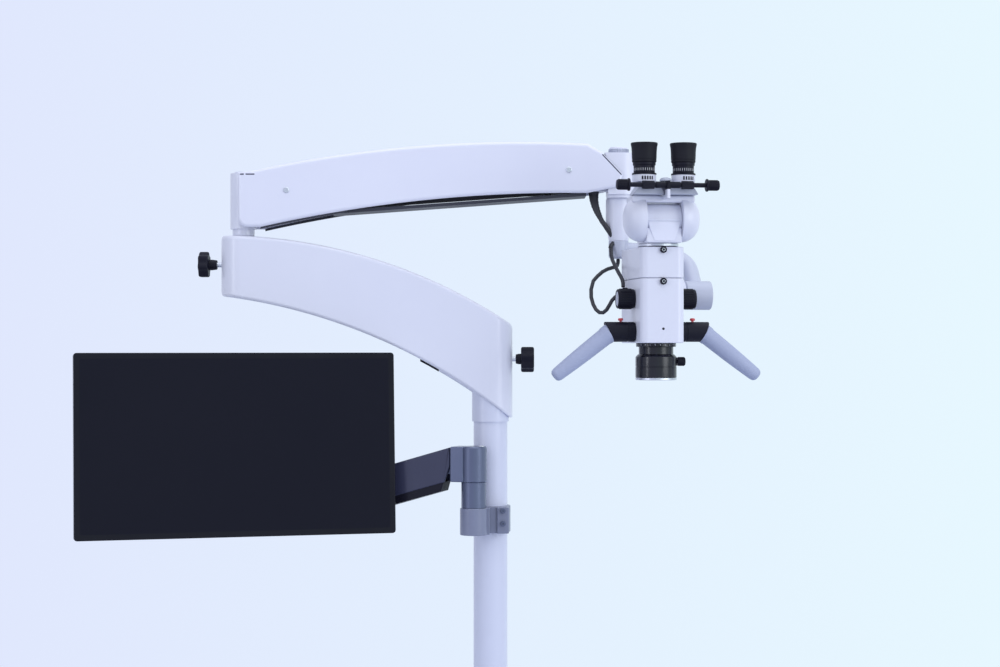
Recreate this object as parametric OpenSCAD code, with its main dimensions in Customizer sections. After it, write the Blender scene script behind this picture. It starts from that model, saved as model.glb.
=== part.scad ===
// Dental microscope on a mobile floor stand, with a screen on its column.
// Millimetres, +Z up, floor at z = 0, column axis at x = y = 0, the user stands at -Y.
// Left and right are as seen from -Y.

/* [Fits and walls] */
// Radial clearance of a shaft that turns or slides in its hole
running_gap = 0.05; // [0.03:0.01:0.08]
// Gap between faces that move past each other
face_gap = 0.3; // [0.3:0.1:0.5]
// Wall of the lower arm casting
casting_wall = 4; // [3.5:0.5:4.5]
// Wall of the moulded covers
cover_wall = 3; // [2.5:0.5:3.5]

/* [Base and column] */
// Distance from the column axis to each caster stem
caster_reach = 400; // [360:10:440]
// Height of the underside of the legs
leg_z = 96; // [94:1:100]
// Thickness of the legs
leg_h = 36; // [32:1:40]
// Width of a leg at the hub
leg_root_w = 92; // [80:1:100]
// Width of a leg at its tip
leg_tip_w = 60; // [52:1:62]
// Radius of the round end of a leg
leg_end_r = 33; // [32:1:36]
// Radius of the hub plate
hub_plate_r = 108; // [100:1:115]
// Radius of the socket that holds the column
socket_r = 44; // [40:1:48]
// Height of the socket above the legs
socket_h = 60; // [50:1:66]
// Radius of the column
column_r = 27; // [26:0.5:28]
// Wall of the column tube
column_wall = 3.5; // [3:0.5:5]
// Height of the top of the column
column_top_z = 1455; // [1450:1:1460]
// Width of the base cover
cover_w = 260; // [250:1:270]
// Depth of the base cover
cover_d = 220; // [215:1:230]
// Corner radius of the base cover
cover_corner_r = 42; // [36:1:48]
// Height of the straight part of the base cover
cover_h = 54; // [50:1:60]
// Height of the cone on top of the base cover
cover_cone_h = 40; // [34:1:44]
// Radius of the foot of that cone
cover_cone_r = 92; // [86:1:96]
// Width of the mains inlet
inlet_w = 28; // [26:1:30]
// Height of the mains inlet
inlet_h = 20; // [18:1:22]

/* [Casters] */
// Radius of a caster wheel
wheel_r = 37.5; // [36:0.5:38]
// Width of a caster wheel
wheel_w = 26; // [24:1:26]
// Distance of the wheel axle behind the stem
caster_trail = 22; // [20:1:24]
// Radius of the stem in the leg
stem_r = 8; // [7:0.5:9]
// Radius of the wheel axle
axle_r = 5; // [4.5:0.5:6]
// Thickness of the fork cheeks
fork_t = 5; // [4:0.5:5]
// Radius of the fork's round top plate
fork_plate_r = 26; // [25:0.5:28]

/* [Lower arm] */
// Distance from the column axis to the elbow axis
lower_reach = 395; // [385:1:405]
// Half width of the lower arm, also the radius of its round ends
lower_r = 35; // [34.5:0.5:36]
// Height of the top edge at the elbow end
lower_top_left_z = 1614; // [1613:0.5:1614.5]
// Height of the top edge at the column end
lower_top_right_z = 1472; // [1470:1:1476]
// Height of the bottom edge at the elbow end
lower_low_left_z = 1518; // [1516:1:1520]
// Height of the bottom edge at the column end
lower_low_right_z = 1321; // [1320:1:1323]
// Rise of the top edge above its chord
lower_top_rise = 36.5; // [35:0.5:38]
// Rise of the bottom edge above its chord
lower_low_rise = 35.5; // [34:0.5:36]
// Outer radius of the bearing sleeve on the column
sleeve_r = 29.5; // [29.5:0.5:30]
// Height of the lower rim of that sleeve
sleeve_z = 1318; // [1316:1:1320]
// Thickness of the sleeve's top cap
sleeve_cap = 6; // [5:1:8]
// Radius of the elbow pin
elbow_pin_r = 12; // [11:0.5:12.5]
// Length of the elbow pin in the lower arm
elbow_pin_l = 78; // [70:1:80]
// Height of the brake screw at the elbow
elbow_brake_z = 1568; // [1560:1:1575]
// Height of the brake screw at the column
column_brake_z = 1417.6; // [1410:0.1:1425]
// Radius of the brake screws
brake_screw_r = 4; // [3.5:0.5:5]
// Radius of the brake knobs
brake_knob_r = 21; // [20:0.5:22]
// Thickness of the elbow brake knob
elbow_knob_t = 16; // [14:1:18]
// Thickness of the column brake knob
column_knob_t = 20.8; // [18:0.1:22]
// Radius of the neck behind a brake knob
knob_neck_r = 8.5; // [8:0.5:9]

/* [Upper arm] */
// Distance from the elbow axis to the head swivel axis
upper_reach = 600; // [595:1:605]
// Half width of the arm cover
arm_half_w = 38; // [37.5:0.5:38.5]
// Radius of the elbow post
post_r = 21; // [20:0.5:21]
// Radius of the short neck under the elbow post
neck_r = 17.5; // [16:0.5:18]
// Height of the foot of the elbow post
post_z = 1625; // [1623:1:1627]
// Height of the top of the elbow post
post_top_z = 1713.6; // [1710:0.1:1714]
// Distance of the first pair of pivots from the elbow axis
pivot_1_x = 72; // [70:1:73]
// Height of the first upper pivot
pivot_1_z = 1685; // [1684:0.5:1686]
// Distance of the second pair of pivots from the elbow axis
pivot_2_x = 519; // [518:1:520]
// Height of the second upper pivot
pivot_2_z = 1717; // [1716:0.5:1718]
// Distance from each upper pivot down to the lower one
pivot_drop = 26; // [25.5:0.5:27]
// Radius of the pivot pins
pin_r = 4; // [3.5:0.5:4]
// Radius of the pin heads outside the cover
pin_head_r = 4.75; // [4.5:0.25:5.5]
// Half width of the beam and of the link under it
beam_half_w = 12; // [11:0.5:12.5]
// Half height of the beam
beam_half_h = 12; // [11:0.5:12]
// Half height of the lower link
link_half_h = 8; // [7:0.5:8]
// Thickness of an ear of the yokes
ear_t = 8; // [7:0.5:9]
// Depth of the link's tray under the beam's centre line
tray_drop = 37.5; // [37:0.5:38]
// Thickness of that tray
tray_t = 5; // [4:0.5:5]
// Half width of that tray
tray_half_w = 30; // [28:1:31]
// Radius of the lift spring's sleeve
spring_r = 11; // [10:0.5:11]
// Radius of the end block's round end
block_r = 33; // [32:0.5:33]
// Height of the top of the end block
block_top_z = 1745; // [1744:0.5:1746]
// Height of the underside of the end block
block_low_z = 1679; // [1678:0.5:1680]
// Radius of the swivel knob on top
swivel_knob_r = 16.5; // [15:0.5:17]
// Height of the swivel knob
swivel_knob_h = 11; // [10:0.5:12]

/* [Head suspension] */
// Radius of the swivel shaft
swivel_shaft_r = 12; // [11:0.5:13]
// Radius of the swivel housing
swivel_r = 20.5; // [20:0.5:21]
// Radius of the yoke arm
yoke_r = 13; // [12:0.5:13]
// Distance of the tilt axis behind the optical axis
tilt_y = 55; // [53:1:56]
// Height of the tilt axis
tilt_z = 1517.3; // [1516:0.1:1519]
// Radius of the tilt joint
tilt_r = 22.6; // [22:0.1:23]

/* [Head] */
// Place of the optical axis along X
head_x = 253.9; // [250:0.1:256]
// Place of the optical axis along Y
head_y = -140; // [-142:0.5:-138]
// Turn of the head about the vertical at rest
head_yaw = 8; // [6:0.5:9]
// Half width of the head
head_half_w = 34; // [33:0.5:35]
// Distance of the head's front face from the optical axis
head_front = 50; // [48:0.5:51]
// Distance of the head's back face from the optical axis
head_back = 107; // [100:1:107]
// Corner radius of the head
head_corner_r = 12; // [10:1:14]
// Height of the underside of the head
head_low_z = 1443; // [1442:0.5:1443]
// Height of the seam between the head and the stage above it
head_seam_z = 1541; // [1540:0.5:1542]
// Height of the top of that stage
head_top_z = 1588; // [1587:0.5:1588]
// Height of the magnification knobs' axis
zoom_z = 1510.4; // [1509:0.1:1511]
// Radius of the magnification knobs
zoom_knob_r = 15.8; // [15:0.1:16]
// Length of a magnification knob
zoom_knob_l = 27; // [25:0.5:28]
// Radius of the magnification drum
zoom_drum_r = 25; // [24:0.5:25]
// Half the distance between the two light paths
light_path_x = 11; // [10.5:0.5:12]
// Radius of a light path
light_path_r = 8; // [7:0.5:8.5]
// Radius of a cap screw head on the front
cap_screw_r = 5; // [4.5:0.25:5]

/* [Objective] */
// Radius of the collar under the head
collar_r = 30.6; // [30:0.1:31]
// Radius of the neck under the collar
objective_neck_r = 26.4; // [26:0.1:27]
// Radius of the objective barrel
barrel_r = 31.5; // [31:0.1:32]
// Height of the objective's lower rim
barrel_low_z = 1386.4; // [1385:0.1:1388]
// Height of the top of the barrel
barrel_top_z = 1426; // [1425:0.5:1427]
// Radius of the objective lens
lens_r = 24; // [23:0.5:24.5]
// Height of the focus knob's axis
focus_z = 1414.8; // [1414:0.1:1415.5]
// Radius of the focus knob
focus_knob_r = 6.9; // [6.5:0.1:7.2]

/* [Handles] */
// Height of the handle axis
handle_z = 1460; // [1459:0.5:1461]
// Distance of the handle axis behind the optical axis
handle_y = -4; // [-6:0.5:-2]
// Radius of the handle joint
handle_joint_r = 15.3; // [15:0.1:15.6]
// Length of the handle joint along its upper edge
handle_joint_l = 49; // [47:0.5:51]
// Fall of the grip below the horizontal
grip_fall = 38; // [36:0.5:40]
// Radius of the grip at the joint
grip_root_r = 13.5; // [13:0.1:14]
// Radius of the grip at its end
grip_tip_r = 10; // [9:0.1:10]
// Length of the grip
grip_l = 112; // [108:0.5:114]
// Radius of the red release button
button_r = 4; // [3.5:0.25:4.5]

/* [Binocular] */
// Distance of the inclination axis in front of the optical axis
hinge_front = 36; // [35:0.5:37]
// Height of the inclination axis
hinge_z = 1630; // [1629:0.5:1631]
// Radius of the hinge cheeks
cheek_r = 34.5; // [34:0.1:35]
// Distance of the cheeks' inner faces from the middle
cheek_in_x = 27.5; // [27:0.5:28]
// Distance of the cheeks' outer faces from the middle
cheek_out_x = 57; // [56:0.5:58]
// Radius of the barrel between the cheeks
hinge_barrel_r = 23; // [22:0.5:23]
// Half the distance between the eyepieces
eye_x = 30; // [29:0.5:31]
// Distance of the eyepieces in front of the optical axis
eye_front = 54; // [53:0.5:55]
// Radius of an eyepiece's rim
eye_rim_r = 20.3; // [20:0.1:20.6]
// Height of the top of the eyepieces
eye_top_z = 1743.5; // [1742:0.5:1745]
// Distance of the spacing bar in front of the optical axis
bar_front = 82; // [81:0.5:83]
// Height of the spacing bar
bar_z = 1678.4; // [1678:0.1:1679]
// Distance of the bar's knobs' outer faces from the middle
bar_end_x = 78; // [77:0.5:80]

/* [Screen] */
// Place of the screen arm's post along X
screen_post_x = -26; // [-27:0.5:-25]
// Place of the screen arm's post along Y
screen_post_y = -60; // [-61:0.5:-59]
// Radius of the screen arm's post
screen_post_r = 19.6; // [19:0.1:20]
// Height of the underside of the column clamp
clamp_z = 1142; // [1140:1:1144]
// Height of the column clamp
clamp_h = 42; // [40:1:43]
// Height of the foot of the knuckle
knuckle_z = 1225; // [1223:1:1226]
// Height of the knuckle
knuckle_h = 56; // [54:1:57]
// Radius of the knuckle
knuckle_r = 20.5; // [20:0.5:22]
// Direction of the screen arm's link, from +X
link_yaw = 160; // [159.5:0.5:160.5]
// Fall of that link below the horizontal at rest
link_fall = 16; // [15:0.5:17]
// Length of that link between its hinges
link_l = 250; // [248:1:252]
// Half width of that link
screen_link_half_w = 18; // [17:0.5:18.5]
// Half height of that link
screen_link_half_h = 25; // [24:0.5:26]
// Width of the screen
screen_w = 496; // [490:1:500]
// Height of the screen
screen_h = 284; // [280:1:288]
// Thickness of the screen at its edge
screen_t = 14; // [13:0.5:14.5]
// Place of the middle of the screen's front along X
screen_x = -388.6; // [-390:0.1:-387]
// Place of the middle of the screen's front along Y
screen_y = -120; // [-121:0.5:-120]
// Height of the screen's tilt axis
screen_z = 1283.7; // [1282:0.1:1284]
// Turn of the screen about the vertical at rest
screen_yaw = 16; // [15.5:0.5:16.5]
// Backward lean of the screen at rest
screen_lean = 3; // [2:0.5:3.5]

/* [Hidden] */
$fn = 64;
// One overrun serves every cut
cut = 2;
stem_gap = 0.08;
// Room beside a part that turns between two others
side_gap = 1;

// Directions of the legs and the casters
leg_turns = [225, 315, 45, 135];
caster_turns = [-25, -13, -1, 11];
column_foot_z = leg_z + leg_h / 4;
stem_l = leg_h * 0.75;
fork_plate_t = 8;
fork_front_share = 0.7;
fork_back_share = 0.8;
fork_in_x = wheel_w / 2 + cut;
wheel_bevel = 4;
fork_eye_r = 13;
cover_z = leg_z + leg_h;
inlet_wall = 3;
inlet_depth = 16;
inlet_pin_w = 4;
inlet_pin_t = 2;
inlet_z = cover_z + cover_h / 2;

// Lower arm
lower_left_x = -lower_reach - lower_r;
boss_top_z = 1615;
elbow_hub_r = 22;
sleeve_hub_r = 33;
knob_lobes = 7;
knob_lobe_r = 7;
knob_lobe_depth_share = 0.16;
knob_reach = 55;
elbow_knob_x = lower_reach + knob_reach;
elbow_neck_l = 12.4;
column_knob_x = 48.8;
column_neck_l = 8;
arc_steps = 24;

// Upper arm
elbow_x = -lower_reach;
swivel_x = elbow_x + upper_reach;
elbow_at = [elbow_x, 0];
pivot_1 = elbow_at + [pivot_1_x, pivot_1_z];
pivot_2 = elbow_at + [pivot_2_x, pivot_2_z];
beam_l = norm(pivot_2 - pivot_1);
beam_slope = atan2(pivot_2.y - pivot_1.y, pivot_2.x - pivot_1.x);
ear_in_y = beam_half_w + side_gap;
ear_pin_r = 9;
ear_share = 0.9;
ear_top_r = 13;
cover_in = arm_half_w - cover_wall;
cover_heel_l = 5;
cover_slot_l = 50;
cover_back_x = elbow_x - cover_heel_l;
cover_corner = 15;
cover_heel_z = 1626;
cover_slot_x = elbow_x + cover_slot_l;
cover_top_left = elbow_at + [18, 1716.7];
cover_top_right = elbow_at + [549, 1759.4];
cover_nose = elbow_at + [573, 1745];
cover_tip = elbow_at + [606, 1710];
cover_tip_low = elbow_at + [600, 1690];
cover_low_left = elbow_at + [31, 1625.8];
cover_low_right = elbow_at + [548, 1679.5];
cover_top_rise = 17.8;
cover_low_rise = 15.4;
tray_start = 69;
tray_end = 473;
spring_start = 75;
spring_l = 190;
spring_lug_t = 8;
spring_lug_h = 36;
block_face_l = 581.5;
block_face_x = elbow_x + block_face_l;
block_lip = 5;
block_lip_r = 30;
shelf_l = 23;
shelf_half_w = 9;
shelf_z = 1685;
shelf_h = 11;
block_ear_top_z = 1717;
block_ear_low_z = 1702;
knob_spigot_r = 5;
knob_spigot_l = 18;
cap_disc_r = 14.5;
cap_disc_h = 2.5;

// Head suspension, in the head's own frame
swivel_in_head = [
    (swivel_x - head_x) * cos(head_yaw) - head_y * sin(head_yaw),
    -(swivel_x - head_x) * sin(head_yaw) - head_y * cos(head_yaw)
];
housing_low_z = 1606;
housing_taper_z = 1637;
housing_low_r = 16;
yoke_cup_z = 1578;
yoke_start = [swivel_in_head.x, swivel_in_head.y, 1592];
yoke_bend_1 = [40, 142, 1588];
yoke_bend_2 = [76, 110, 1572];
yoke_end = [76, tilt_y, tilt_z];
yoke_ball_rim = 1;
hub_end_x = 56;
yoke_ball_r = yoke_r + yoke_ball_rim;
ring_in_x = hub_end_x + face_gap;
ring_out_x = 98.7;
tilt_shaft_end_x = 89.7;
ring_bore_x = tilt_shaft_end_x + face_gap;
gland_r = 12;
gland_l = 10;

// Head
head_wall = 4;
head_middle_y = (head_back - head_front) / 2;
zoom_shaft_r = 5;
zoom_room_x = 30;
rear_room_y = 38;
cap_screw_h = 5;
cap_screw_shank_r = 3;
cap_screw_shank_l = 8;
cap_screw_z = [1536, 1583.5];
socket_key_r = 2.5;

// Objective
collar_z = 1437;
spigot_low_z = 1412;
spigot_bore_r = 19;
lens_low_z = 1397;
lens_t = 9;
focus_gap = 1.5;
focus_knob_x = barrel_r + focus_gap;
focus_knob_l = 12;
focus_shaft_r = 3;

// Handles
grip_end_round = 4;
joint_stub_r = 8;
joint_stub_l = 12;
button_x = 56;
button_h = 4;
button_lift = 1.8;
button_stem_r = 2;
button_stem_l = 8;

// Binocular
mount_ring_h = 6;
mount_ring_r = 31;
mount_ring_y = -14;
hinge_y = -hinge_front;
foot_back_y = 12;
foot_front_y = -58;
foot_top_z = 1616;
hinge_shaft_r = 10;
hinge_shaft_x = 50;
cheek_round = 26;
hinge_room = 1.2;
bridge_low_z = hinge_z + hinge_barrel_r + hinge_room;
bridge_top_z = 1665;
bridge_front_y = -66;
bridge_back_y = -6;
base_in_x = 1.6;
base_out_x = 50;
base_top_z = 1685;
base_front_y = -72;
base_back_y = -35;
tube_ring_r = 18;
tube_ring_top_z = 1695.5;
tube_flange_r = 18.4;
tube_flange_z = 1698;
eye_spigot_r = 12;
eye_spigot_l = 10;
eye_waist_r = 16;
eye_waist_z = 1716;
eye_cup_r = 18.6;
eye_cup_z = 1718;
eye_bore_r = 9;
nut_half_w = 9;
nut_half_h = 5.3;
nut_depth = 18.5;
bar_mid_r = 4.8;
bar_mid_x = 18.5;
bar_r = 3.5;
bar_knob_x = 61;
bar_flange_x = 58;
bar_knob_r = 8;
bar_flange_r = 9.5;
bracket_half_w = 2.5;
bracket_low_z = 1658;
bracket_top_z = 1685;
bracket_depth = 7;

// Screen and its arm
clamp_wall = 5;
clamp_collar_r = 21.6;
clamp_ear_x = [10, 29.5];
clamp_ear_y = [-44, -20];
clamp_bolt_x = 20;
clamp_bolt_z = [1158, 1178.5];
clamp_bolt_r = 3;
clamp_bolt_head_r = 4.2;
clamp_bolt_head_h = 4;
clamp_bolt_sink = 12;
screen_pin_r = 10;
screen_pin_l = 40;
link_hinge_x = 40;
link_hinge_z = 1251.6;
hinge_eye_r = 14;
hinge_pin_r = 5;
hinge_tongue = 12.5;
hinge_ear_in = 13;
link_face = 6;
link_drop = 20;
knuckle_face_x = link_hinge_x - link_face - side_gap;
link_body_x = 17;
link_body_end = 222;
knuckle_half_w = 19;
bracket_drop = 32;
bracket_block = 12;
forearm_h = 16;
forearm_half_w = 12;
pan_pin_r = 8;
pan_y = 75;
pan_post_top_z = 1258;
pan_pin_top_z = 1298;
pan_head_r = 14;
pan_head_top_z = 1304;
tilt_pin_r = 5;
tilt_barrel_r = 9;
tilt_barrel_x = 15;
tilt_back = 52;
lug_t = 6;
lug_half_h = 12;
bulge_w = 260;
bulge_h = 180;
bulge_d = 36;
glass_t = 2;
bezel = 9;
screen_corner_r = 5;
screen_cos = cos(screen_yaw);
screen_sin = sin(screen_yaw);
pan_x = screen_x - pan_y * screen_sin;
pan_place_y = screen_y + pan_y * screen_cos;
link_end_x = link_hinge_x + link_l * cos(link_fall);
link_end_z = link_hinge_z - link_l * sin(link_fall);
link_end = [
    screen_post_x + link_end_x * cos(link_yaw),
    screen_post_y + link_end_x * sin(link_yaw)
];
forearm_turn = atan2(pan_place_y - link_end.y, pan_x - link_end.x);
forearm_l = norm([pan_x, pan_place_y] - link_end);
forearm_z = link_end_z - bracket_drop;

// Cords: radii and routes
hose_r = 3;
arm_cord_r = 4;
arm_boot_r = 9;
cord_sides = 10;
arm_cord_route = [
    [165, 0, 1684.9], [165, 0, 1680], [165.5, -1.4, 1671.5], [167.4, -4, 1662], [170.6, -7, 1652.5],
    [174.4, -9.6, 1644], [178.2, -12, 1636.5], [182.4, -13.8, 1631]
];
head_cord_route = [
    [192.6, -15.2, 1600], [191.6, -18.6, 1592], [191.7, -25, 1583], [193.2, -33.5, 1574.5],
    [195.8, -44, 1567], [198.6, -55.5, 1559.5], [201.3, -66.5, 1552.6], [204, -77, 1546.6],
    [205.8, -84.4, 1541.6], [206.6, -89.2, 1536], [206.6, -91, 1530.4]
];
loop_cord_route = [
    [204, -3, 1575.9], [203.6, -7, 1571.2], [202, -14, 1566.6], [198.6, -23.5, 1563.8],
    [193, -32.5, 1562.4], [185.5, -40.5, 1560], [177, -47.5, 1555.5], [168.9, -53.5, 1548.6],
    [161.7, -59.5, 1540.5], [158, -65, 1527], [158, -70, 1514.5], [160.8, -74.5, 1503.5],
    [165, -78.3, 1495.4], [170.3, -81.5, 1490.6], [176, -84.2, 1490.4], [181.2, -86.8, 1494.8],
    [185.5, -88.8, 1502], [189.4, -90.4, 1509.4], [194.2, -91.6, 1514.4], [199, -92.2, 1517],
    [202.1, -91.75, 1517.3]
];

// Colours of the finishes
paint_colour = [0.93, 0.93, 0.95];
casting_colour = [0.82, 0.83, 0.86];
black_colour = [0.1, 0.1, 0.12];
dark_colour = [0.27, 0.28, 0.34];
grip_colour = [0.68, 0.71, 0.8];
steel_colour = [0.72, 0.73, 0.75];
red_colour = [0.75, 0.12, 0.14];
rubber_colour = [0.18, 0.18, 0.19];
glass_colour = [0.45, 0.55, 0.6];

// Points of an arc from p to q that rises above its chord
function bow(p, q, rise, steps) =
    let (half = norm(q - p) / 2)
    let (radius = (half * half + rise * rise) / (2 * rise))
    let (along = (q - p) / (2 * half))
    let (up = [-along.y, along.x])
    let (middle = (p + q) / 2 - (radius - rise) * up)
    let (reach = asin(half / radius))
    [
            for (i = [0:steps])
                let (turn = reach * (2 * i / steps - 1))
                middle + radius * (sin(turn) * along + cos(turn) * up)
        ];

// Points of a circular arc about c
function arc(c, r, a0, a1, steps) =
    [for (i = [0:steps]) c + r * [cos(a0 + (a1 - a0) * i / steps), sin(a0 + (a1 - a0) * i / steps)]];

function reversed(points) = [for (i = [len(points) - 1:-1:0]) points[i]];

function unit(v) = v / norm(v);

// A rod of the given radius between two points in space
module rod(p, q, r) {
    d = q - p;
    l = norm(d);
    translate(p)
        rotate([0, acos(d.z / l), atan2(d.y, d.x)])
            cylinder(r = r, h = l);
}

// A rod along X, about the given height and depth
module cross_rod(x0, x1, y, z, r) {
    translate([x0, y, z])
        rotate([0, 90, 0])
            cylinder(r = r, h = x1 - x0);
}

// A plate that stands in the XZ plane, between two places along Y
module side_plate(y0, y1) {
    translate([0, y1, 0])
        rotate([90, 0, 0])
            linear_extrude(y1 - y0)
                children();
}

module round_rect(w, d, r) {
    square([w - 2 * r, d], center = true);
    square([w, d - 2 * r], center = true);
    for (x = [-1, 1], y = [-1, 1])
        translate([x * (w / 2 - r), y * (d / 2 - r)])
            circle(r);
}

// A cord: rings about the route, joined by a closed skin
module cord(route, radii) {
    last = len(route) - 1;
    rings = [
        for (i = [0:last])
            let (t = unit(route[min(i + 1, last)] - route[max(i - 1, 0)]))
            let (u = unit(cross(t, [0, 1, 0.15])))
            let (v = cross(t, u))
            for (k = [0:cord_sides - 1])
                route[i] + radii[i] * (cos(360 * k / cord_sides) * u + sin(360 * k / cord_sides) * v)
    ];
    skin = [
        for (i = [0:last - 1], k = [0:cord_sides - 1])
            let (a = i * cord_sides + k)
            let (b = i * cord_sides + (k + 1) % cord_sides)
            each [[a, a + cord_sides, b + cord_sides], [a, b + cord_sides, b]]
    ];
    first_end = [for (k = [0:cord_sides - 1]) k];
    far_end = [for (k = [cord_sides - 1:-1:0]) last * cord_sides + k];
    polyhedron(points = rings, faces = concat(skin, [first_end], [far_end]));
}

// Base and column

module legs_outline() {
    for (turn = leg_turns)
        rotate([0, 0, turn]) {
            polygon([
                [0, -leg_root_w / 2],
                [caster_reach, -leg_tip_w / 2],
                [caster_reach, leg_tip_w / 2],
                [0, leg_root_w / 2]
            ]);
            translate([caster_reach, 0])
                circle(leg_end_r);
        }
    circle(hub_plate_r);
}

module base_frame() {
    color(casting_colour)
        difference() {
            translate([0, 0, leg_z])
                union() {
                    linear_extrude(leg_h)
                        legs_outline();
                    cylinder(r = socket_r, h = leg_h + socket_h);
                }
            translate([0, 0, column_foot_z])
                cylinder(r = column_r, h = leg_h + socket_h + cut);
            for (turn = leg_turns)
                rotate([0, 0, turn])
                    translate([caster_reach, 0, leg_z - cut])
                        cylinder(r = stem_r + stem_gap, h = stem_l + face_gap + cut);
        }
}

module column() {
    color(paint_colour)
        translate([0, 0, column_foot_z])
            difference() {
                cylinder(r = column_r, h = column_top_z - column_foot_z);
                translate([0, 0, -cut])
                    cylinder(r = column_r - column_wall, h = column_top_z - column_foot_z + 2 * cut);
            }
}

module inlet_block(w, h, d, y) {
    translate([-w / 2, y, inlet_z - h / 2])
        cube([w, d, h]);
}

module base_cover() {
    cone_z = cover_z + cover_h;
    inlet_y = cover_d / 2 - inlet_depth;
    color(paint_colour)
        difference() {
            union() {
                translate([0, 0, cover_z])
                    linear_extrude(cover_h)
                        round_rect(cover_w, cover_d, cover_corner_r);
                translate([0, 0, cone_z])
                    cylinder(r1 = cover_cone_r, r2 = socket_r + cover_wall, h = cover_cone_h);
            }
            difference() {
                union() {
                    translate([0, 0, cover_z - cut])
                        linear_extrude(cover_h + cut - cover_wall)
                            round_rect(cover_w - 2 * cover_wall, cover_d - 2 * cover_wall, cover_corner_r - cover_wall);
                    translate([0, 0, cone_z - cover_wall])
                        cylinder(r1 = cover_cone_r - 2 * cover_wall, r2 = socket_r - cover_wall, h = cover_cone_h);
                }
                inlet_block(inlet_w + 2 * inlet_wall, inlet_h + 2 * inlet_wall, inlet_depth, inlet_y);
            }
            translate([0, 0, cone_z])
                cylinder(r = column_r + face_gap, h = cover_cone_h + cut);
            difference() {
                inlet_block(inlet_w, inlet_h, inlet_depth, inlet_y + inlet_wall);
                for (x = [-1, 0, 1])
                    translate([x * inlet_w / 4 - inlet_pin_t / 2, inlet_y, inlet_z - inlet_pin_w / 2])
                        cube([inlet_pin_t, inlet_depth - inlet_wall, inlet_pin_w]);
            }
        }
}

module at_caster(k) {
    rotate([0, 0, leg_turns[k]])
        translate([caster_reach, 0, 0])
            rotate([0, 0, caster_turns[k] - leg_turns[k]])
                children();
}

module fork_cheek() {
    polygon([
        [-caster_trail - fork_eye_r, wheel_r],
        [-caster_trail + fork_eye_r, wheel_r],
        [fork_plate_r * fork_front_share, leg_z - fork_plate_t / 2],
        [-fork_plate_r * fork_back_share, leg_z - fork_plate_t / 2]
    ]);
    translate([-caster_trail, wheel_r])
        circle(fork_eye_r);
}

module caster_fork(k) {
    color(steel_colour)
        at_caster(k) {
            translate([0, 0, leg_z - fork_plate_t])
                cylinder(r = fork_plate_r, h = fork_plate_t - face_gap);
            translate([0, 0, leg_z - cut])
                cylinder(r = stem_r, h = stem_l + cut);
            for (x = [-fork_in_x - fork_t, fork_in_x])
                translate([x, 0, 0])
                    rotate([90, 0, 90])
                        linear_extrude(fork_t)
                            fork_cheek();
            cross_rod(-fork_in_x - fork_t / 2, fork_in_x + fork_t / 2, -caster_trail, wheel_r, axle_r);
        }
}

module caster_wheel(k) {
    bore = axle_r + running_gap;
    color(rubber_colour)
        at_caster(k)
            translate([0, -caster_trail, wheel_r])
                rotate([0, 90, 0])
                    rotate_extrude()
                        polygon([
                            [bore, -wheel_w / 2],
                            [wheel_r - wheel_bevel, -wheel_w / 2],
                            [wheel_r, -wheel_w / 2 + wheel_bevel],
                            [wheel_r, wheel_w / 2 - wheel_bevel],
                            [wheel_r - wheel_bevel, wheel_w / 2],
                            [bore, wheel_w / 2]
                        ]);
}

// Lower arm

module lower_arm_form(inset) {
    left = lower_left_x + inset;
    right = lower_r - inset;
    top = bow([left, lower_top_left_z - inset], [right, lower_top_right_z - inset], lower_top_rise, arc_steps);
    low = bow([left, lower_low_left_z + inset], [right, lower_low_right_z + inset], lower_low_rise, arc_steps);
    intersection() {
        side_plate(-lower_r, lower_r)
            polygon(concat(top, reversed(low)));
        linear_extrude(lower_top_left_z + lower_r + cut) {
            translate([-lower_reach, inset - lower_r])
                square([lower_reach, 2 * (lower_r - inset)]);
            translate([-lower_reach, 0])
                circle(lower_r - inset);
            circle(lower_r - inset);
        }
    }
}

module lower_arm_shell() {
    pin_low_z = boss_top_z - elbow_pin_l;
    color(paint_colour)
        difference() {
            union() {
                difference() {
                    lower_arm_form(0);
                    lower_arm_form(casting_wall);
                }
                intersection() {
                    lower_arm_form(casting_wall / 2);
                    union() {
                        translate([elbow_x, 0, 0])
                            cylinder(r = elbow_hub_r, h = boss_top_z);
                        cylinder(r = sleeve_hub_r, h = boss_top_z);
                    }
                }
                translate([elbow_x, 0, lower_top_left_z - casting_wall])
                    cylinder(r = neck_r, h = boss_top_z - lower_top_left_z + casting_wall);
            }
            translate([elbow_x, 0, pin_low_z - face_gap])
                cylinder(r = elbow_pin_r + running_gap, h = elbow_pin_l + face_gap + cut);
            cylinder(r = sleeve_r, h = column_top_z + sleeve_cap);
            cross_rod(lower_left_x - cut, elbow_x, 0, elbow_brake_z, brake_screw_r + running_gap);
            cross_rod(0, lower_r + cut, 0, column_brake_z, brake_screw_r + running_gap);
        }
}

module column_sleeve() {
    color(steel_colour)
        difference() {
            translate([0, 0, sleeve_z])
                cylinder(r = sleeve_r, h = column_top_z + sleeve_cap - sleeve_z);
            translate([0, 0, sleeve_z - cut])
                cylinder(r = column_r + running_gap, h = column_top_z + cut - sleeve_z);
            cross_rod(0, sleeve_r + cut, 0, column_brake_z, brake_screw_r + running_gap);
        }
}

// A star knob along +Z, its screw reaching down
module star_knob(screw_l, neck_l, t) {
    translate([0, 0, -screw_l])
        cylinder(r = brake_screw_r, h = screw_l);
    cylinder(r = knob_neck_r, h = neck_l);
    translate([0, 0, neck_l])
        difference() {
            cylinder(r = brake_knob_r, h = t);
            for (k = [1:knob_lobes])
                rotate([0, 0, 360 * k / knob_lobes])
                    translate([brake_knob_r + knob_lobe_r * (1 - 2 * knob_lobe_depth_share), 0, -cut])
                        cylinder(r = knob_lobe_r, h = t + 2 * cut);
        }
}

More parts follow.
